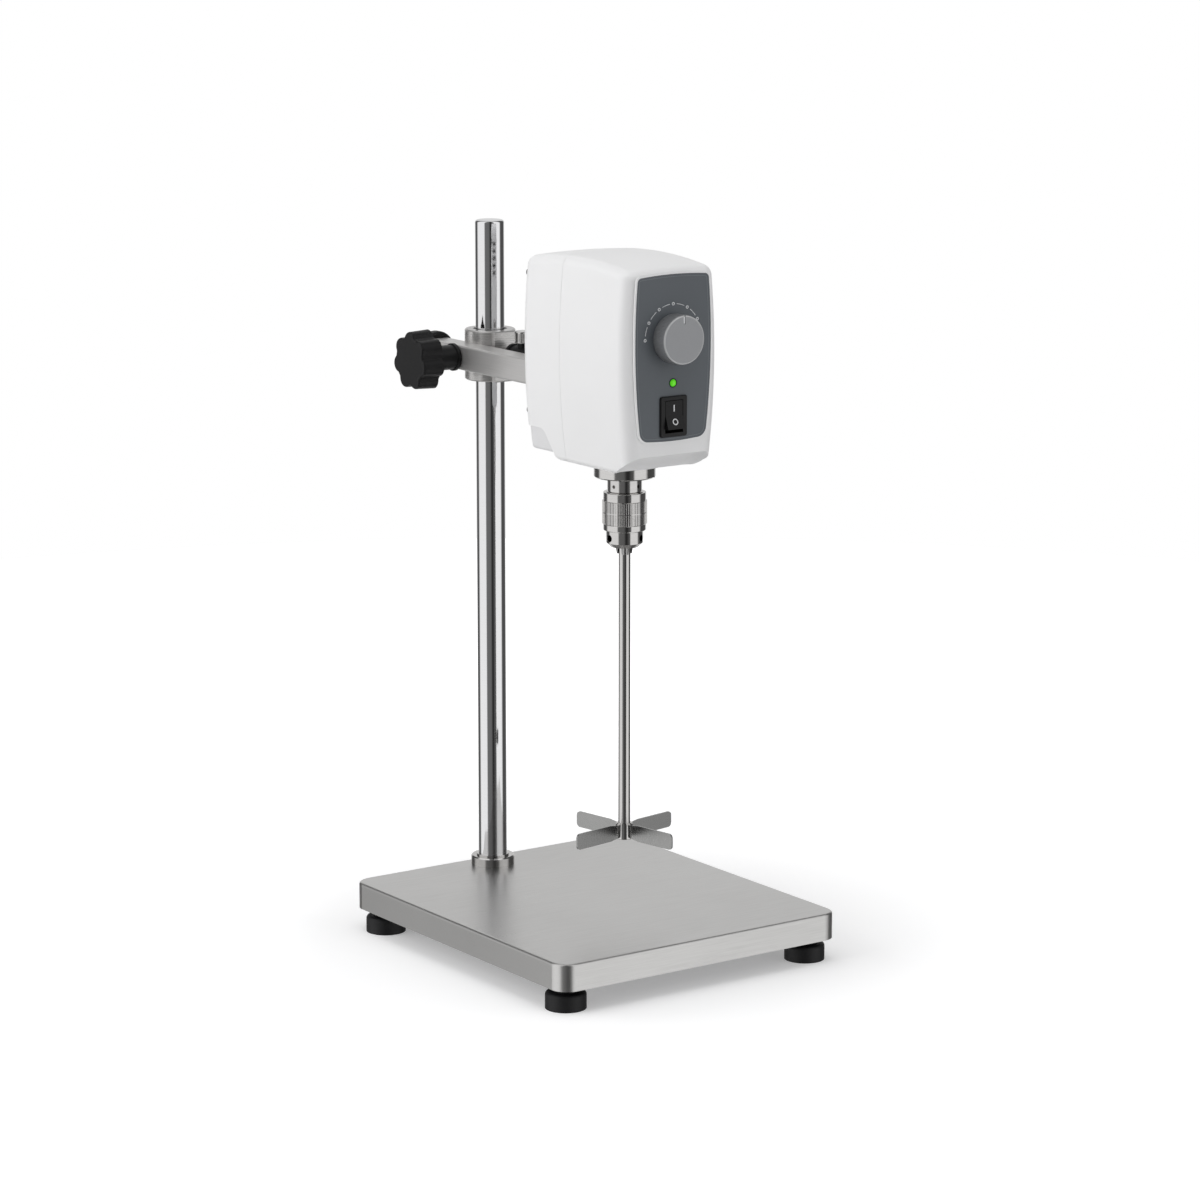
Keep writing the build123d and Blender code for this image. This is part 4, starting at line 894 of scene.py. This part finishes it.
def makeDialScale():
    level = panelFaceY - dialScale["print"] * dialScale["proud"]
    scale = bakeTree(
        "dial_scale",
        dialTree,
        {
            "Dots": dialScale["dots"],
            "First angle": 0.0,
            "Step": math.pi / (dialScale["dots"] - 1),
            "Radius": dialScale["radius"],
            "Dot radius": dialScale["dot"],
            "Dot line": dialScale["dotLine"],
            "Dash share": dialScale["dashShare"],
            "Dash width": dialScale["dashWidth"],
            "Print height": dialScale["print"],
        },
        Matrix.Translation((knobAxis.x, level, knobAxis.z)) @ upright,
        finish["print"],
        "head",
    )


def plainPiece(name, mesh, place, material, body):
    mesh.transform(place)
    mesh.materials.append(material)
    piece = bpy.data.objects.new(name, mesh)
    bpy.context.scene.collection.objects.link(piece)
    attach(piece, body)
    return piece


def ringMesh(name, radius, tube, sides=48, tubeSides=10):
    # closed ring round the Z axis
    shape = bmesh.new()
    loops = []
    for i in range(sides):
        turn = 2 * math.pi * i / sides
        loop = []
        for k in range(tubeSides):
            roll = 2 * math.pi * k / tubeSides
            reach = radius + tube * math.cos(roll)
            spot = (reach * math.cos(turn), reach * math.sin(turn), tube * math.sin(roll))
            loop.append(shape.verts.new(spot))
        loops.append(loop)
    bridgeLoops(shape, loops)
    for face in shape.faces:
        face.smooth = True
    return meshFrom(shape, name)


def barMesh(name, width, height, depth, bevel):
    shape = bmesh.new()
    bmesh.ops.create_cube(shape, size=1.0)
    bmesh.ops.scale(shape, vec=(width, depth, height), verts=shape.verts)
    bmesh.ops.bevel(shape, geom=shape.edges, offset=bevel, segments=2, affect="EDGES")
    return meshFrom(shape, name)


lampRim = {"radius": 2.75 * mm, "tube": 0.32 * mm}
switchMarks = {
    "barWidth": 0.85 * mm,
    "barHeight": 4.4 * mm,
    "barDepth": 0.2 * mm,
    "barRound": 0.05 * mm,
    "onLevel": 5.0 * mm,
    "ring": 1.8 * mm,
    "line": 0.4 * mm,
    "flatten": 0.35,
    "offLevel": -3.8 * mm,
    "lookFrom": 10.0 * mm,
}


def makeLampRim():
    centre = middleOf("led_lens")
    place = Matrix.Translation((centre.x, panelFaceY, centre.z)) @ upright
    mesh = ringMesh("lamp_rim", **lampRim)
    plainPiece("lamp_rim", mesh, place, finish["black"], "head")


def rockerFace(height):
    # a point on the rocker's front and the outward normal there, found on the CAD piece
    rocker = nodes["rocker"]
    middle = middleOf("rocker")
    start = Vector((middle.x, lowOf("rocker").y - switchMarks["lookFrom"], middle.z + height))
    _, point, normal, _ = rocker.ray_cast(start, Vector((0, 1, 0)))
    return point, normal


def makeSwitchMarks():
    for name, level in (("mark_on", "onLevel"), ("mark_off", "offLevel")):
        point, normal = rockerFace(switchMarks[level])
        tilt = math.atan2(normal.z, -normal.y)
        place = Matrix.Translation(point) @ Matrix.Rotation(-tilt, 4, "X")
        if level == "onLevel":
            bar = [switchMarks[size] for size in ("barWidth", "barHeight", "barDepth", "barRound")]
            mesh = barMesh(name, *bar)
        else:
            mesh = ringMesh(name, switchMarks["ring"], switchMarks["line"], 32, 8)
            mesh.transform(Matrix.Scale(switchMarks["flatten"], 4, (0, 0, 1)))
            mesh.transform(upright)
        plainPiece(name, mesh, place, finish["print"], "rocker")


panelLine = {
    "inset": 1.5 * mm,
    "width": 0.4 * mm,
    "height": 0.07 * mm,
    "root": 0.05 * mm,
    "near": 0.02 * mm,
}


def makePanelLine():
    # low line that follows the panel's outline, found on the CAD panel
    corners = nodes["control_panel"].data.vertices
    spots = [Vector((v.co.x, v.co.z)) for v in corners if abs(v.co.y - panelFaceY) < panelLine["near"]]
    outline = [spots[k] for k in geometry.convex_hull_2d(spots)]
    steps = [(spot - outline[k - 1]).length for k, spot in enumerate(outline)]
    outline = [spot for spot, step in zip(outline, steps) if step > panelLine["near"]]
    count = len(outline)
    shape = bmesh.new()
    loops = []
    for k, spot in enumerate(outline):
        before = (spot - outline[k - 1]).normalized()
        after = (outline[(k + 1) % count] - spot).normalized()
        along = (before + after).normalized()
        inward = Vector((-along.y, along.x)) / max(along.dot(after), 0.5)
        loop = []
        for share, rise in ((0, 0), (0, 1), (1, 1), (1, 0)):
            point = spot + inward * (panelLine["inset"] + share * panelLine["width"])
            y = panelFaceY + panelLine["root"] - rise * (panelLine["height"] + panelLine["root"])
            loop.append(shape.verts.new((point.x, y, point.y)))
        loops.append(loop)
    bridgeLoops(shape, loops)
    mesh = meshFrom(shape, "panel_line")
    plainPiece("panel_line", mesh, Matrix.Identity(4), finish["panelLine"], "head")


# the knob's slot is 5.5 long, 1.6 wide and 0.7 deep; the pointer lies in it below the face
pointer = {
    "width": 1.25 * mm,
    "length": 4.4 * mm,
    "depth": 0.5 * mm,
    "round": 0.08 * mm,
    "fromRim": 0.8 * mm,
    "below": 0.25 * mm,
}


def makePointer():
    front, rim = lowOf("speed_knob").y, highOf("speed_knob").z
    place = Matrix.Translation(
        (
            knobAxis.x,
            front + pointer["below"] + pointer["depth"] / 2,
            rim - pointer["fromRim"] - pointer["length"] / 2,
        )
    )
    bar = [pointer[size] for size in ("width", "length", "depth", "round")]
    mesh = barMesh("knob_pointer", *bar)
    plainPiece("knob_pointer", mesh, place, finish["print"], "speed_dial")


makeDialScale()
makeLampRim()
makeSwitchMarks()
makePanelLine()
makePointer()
print("panel marks made")


floorDisc = {
    "radius": 1.5,
    "fadeStart": 0.18,
    "fadeEnd": 0.75,
    "nearGlow": 0.30,
    "farGlow": 1.0,
    "grey": 0.80,
    "rough": 0.9,
}


def makeFloor():
    # a pale disc that fades into the white room, keeping the object's soft shadow
    bpy.ops.mesh.primitive_circle_add(vertices=128, radius=floorDisc["radius"], fill_type="NGON")
    floor = bpy.context.object
    floor.name = "floor"
    material, tree, shader, coords = newMaterial("Pale floor")
    shader.inputs["Base Color"].default_value = (*[floorDisc["grey"]] * 3, 1.0)
    shader.inputs["Roughness"].default_value = floorDisc["rough"]
    shader.inputs["Specular IOR Level"].default_value = 0.0
    away = addNode(tree, "ShaderNodeVectorMath", operation="LENGTH")
    join(tree, coords, away.inputs[0])
    fade = addNode(
        tree,
        "ShaderNodeMapRange",
        {
            "From Min": floorDisc["fadeStart"],
            "From Max": floorDisc["fadeEnd"],
            "To Min": floorDisc["nearGlow"],
            "To Max": floorDisc["farGlow"],
        },
    )
    join(tree, away.outputs["Value"], fade.inputs["Value"])
    rays = addNode(tree, "ShaderNodeLightPath")
    glow = addNode(tree, "ShaderNodeEmission")
    join(tree, fade.outputs["Result"], glow.inputs["Strength"])
    extra = addNode(tree, "ShaderNodeAddShader")
    seen = addNode(tree, "ShaderNodeMixShader")
    join(tree, shader.outputs["BSDF"], extra.inputs[0])
    join(tree, glow.outputs["Emission"], extra.inputs[1])
    join(tree, rays.outputs["Is Camera Ray"], seen.inputs["Fac"])
    join(tree, shader.outputs["BSDF"], seen.inputs[1])
    join(tree, extra.outputs["Shader"], seen.inputs[2])
    # mirrored rays pass on to the room, so metal shows the same white round the object
    clear = addNode(tree, "ShaderNodeBsdfTransparent")
    through = addNode(tree, "ShaderNodeMixShader")
    join(tree, rays.outputs["Is Glossy Ray"], through.inputs["Fac"])
    join(tree, seen.outputs["Shader"], through.inputs[1])
    join(tree, clear.outputs["BSDF"], through.inputs[2])
    join(tree, through.outputs["Shader"], tree.nodes["Material Output"].inputs["Surface"])
    floor.data.materials.append(material)


# the room that metal mirrors: a share of the full turn, from -X towards -Y, and its brightness
studio = {
    "walls": [
        (0.00, 0.74), (0.07, 0.74), (0.10, 0.10), (0.18, 0.10), (0.215, 1.0), (0.385, 1.0),
        (0.40, 0.17), (0.49, 0.15), (0.52, 0.03), (0.545, 0.03), (0.565, 0.10), (0.592, 0.11),
        (0.607, 1.0), (0.735, 1.0), (0.77, 0.08), (0.90, 0.10), (0.93, 0.74),
    ],
    "start": 125.0,
    "fill": (0.32, 0.32, 0.3264),
}


def makeWorld():
    world = bpy.data.worlds.new("Studio")
    world.use_nodes = True
    tree = world.node_tree
    room = tree.nodes["Background"]
    room.inputs["Color"].default_value = (*studio["fill"], 1.0)
    coords = addNode(tree, "ShaderNodeTexCoord")
    turned = addNode(tree, "ShaderNodeMapping", vector_type="VECTOR")
    turned.inputs["Rotation"].default_value = (0.0, 0.0, math.radians(studio["start"]))
    join(tree, coords.outputs["Generated"], turned.inputs["Vector"])
    sweep = addNode(tree, "ShaderNodeTexGradient", gradient_type="RADIAL")
    join(tree, turned.outputs["Vector"], sweep.inputs["Vector"])
    walls = addNode(tree, "ShaderNodeValToRGB")
    stops = walls.color_ramp.elements
    stops[0].position, first = studio["walls"][0]
    stops[0].color = (first, first, first, 1.0)
    stops[1].position, last = studio["walls"][-1]
    stops[1].color = (last, last, last, 1.0)
    for place, level in studio["walls"][1:-1]:
        stop = stops.new(place)
        stop.color = (level, level, level, 1.0)
    join(tree, sweep.outputs["Fac"], walls.inputs["Fac"])
    mirrored = addNode(tree, "ShaderNodeBackground", {"Strength": 1.0})
    join(tree, walls.outputs["Color"], mirrored.inputs["Color"])
    white = addNode(tree, "ShaderNodeBackground", {"Color": (1, 1, 1, 1), "Strength": 1.0})
    rays = addNode(tree, "ShaderNodeLightPath")
    glossy = addNode(tree, "ShaderNodeMixShader")
    pick = addNode(tree, "ShaderNodeMixShader")
    join(tree, rays.outputs["Is Glossy Ray"], glossy.inputs["Fac"])
    join(tree, room.outputs["Background"], glossy.inputs[1])
    join(tree, mirrored.outputs["Background"], glossy.inputs[2])
    join(tree, rays.outputs["Is Camera Ray"], pick.inputs["Fac"])
    join(tree, glossy.outputs["Shader"], pick.inputs[1])
    join(tree, white.outputs["Background"], pick.inputs[2])
    join(tree, pick.outputs["Shader"], tree.nodes["World Output"].inputs["Surface"])
    bpy.context.scene.world = world


# azimuth in degrees round the object, distance and sizes in metres, power in watts
softboxes = {
    "leftBox": {"azimuth": 160.0, "distance": 1.35, "height": 0.62, "size": (1.7, 1.25), "power": 13.0},
    "rightBox": {"azimuth": 299.0, "distance": 1.35, "height": 0.62, "size": (1.15, 1.25), "power": 5.0},
    "topBox": {"azimuth": 215.0, "distance": 0.25, "height": 1.75, "size": (1.6, 1.6), "power": 12.0},
}
lampTargetHeight = 0.28


def makeLights():
    target = Vector((0.0, 0.0, lampTargetHeight))
    for name, box in softboxes.items():
        light = bpy.data.lights.new(name, "AREA")
        light.shape = "RECTANGLE"
        light.size, light.size_y = box["size"]
        light.energy = box["power"]
        lamp = bpy.data.objects.new(name, light)
        # metal mirrors the room's walls and not the lamps, so it doesn't burn out from any side
        lamp.visible_glossy = False
        turn = math.radians(box["azimuth"])
        across, along = math.cos(turn), math.sin(turn)
        lamp.location = (box["distance"] * across, box["distance"] * along, box["height"])
        lamp.rotation_euler = (target - lamp.location).to_track_quat("-Z", "Y").to_euler()
        bpy.context.scene.collection.objects.link(lamp)


cameraPlace = {
    "position": (-1.558508, -2.247170, 0.798555),
    "yaw": -0.6106431,
    "pitch": 0.2015285,
    "focalPixels": 4106.5,
    "frameWidth": 1200,
    "sensor": 36.0,
}


def makeCamera():
    camera = bpy.data.cameras.new("Camera")
    camera.sensor_width = cameraPlace["sensor"]
    camera.lens = cameraPlace["focalPixels"] * cameraPlace["sensor"] / cameraPlace["frameWidth"]
    camera.clip_end = 50.0
    holder = bpy.data.objects.new("Camera", camera)
    holder.location = cameraPlace["position"]
    holder.rotation_euler = (math.pi / 2 - cameraPlace["pitch"], 0.0, cameraPlace["yaw"])
    bpy.context.scene.collection.objects.link(holder)
    bpy.context.scene.camera = holder


makeFloor()
makeWorld()
makeLights()
makeCamera()
bpy.context.scene.view_settings.view_transform = "Standard"
print("stage ready")
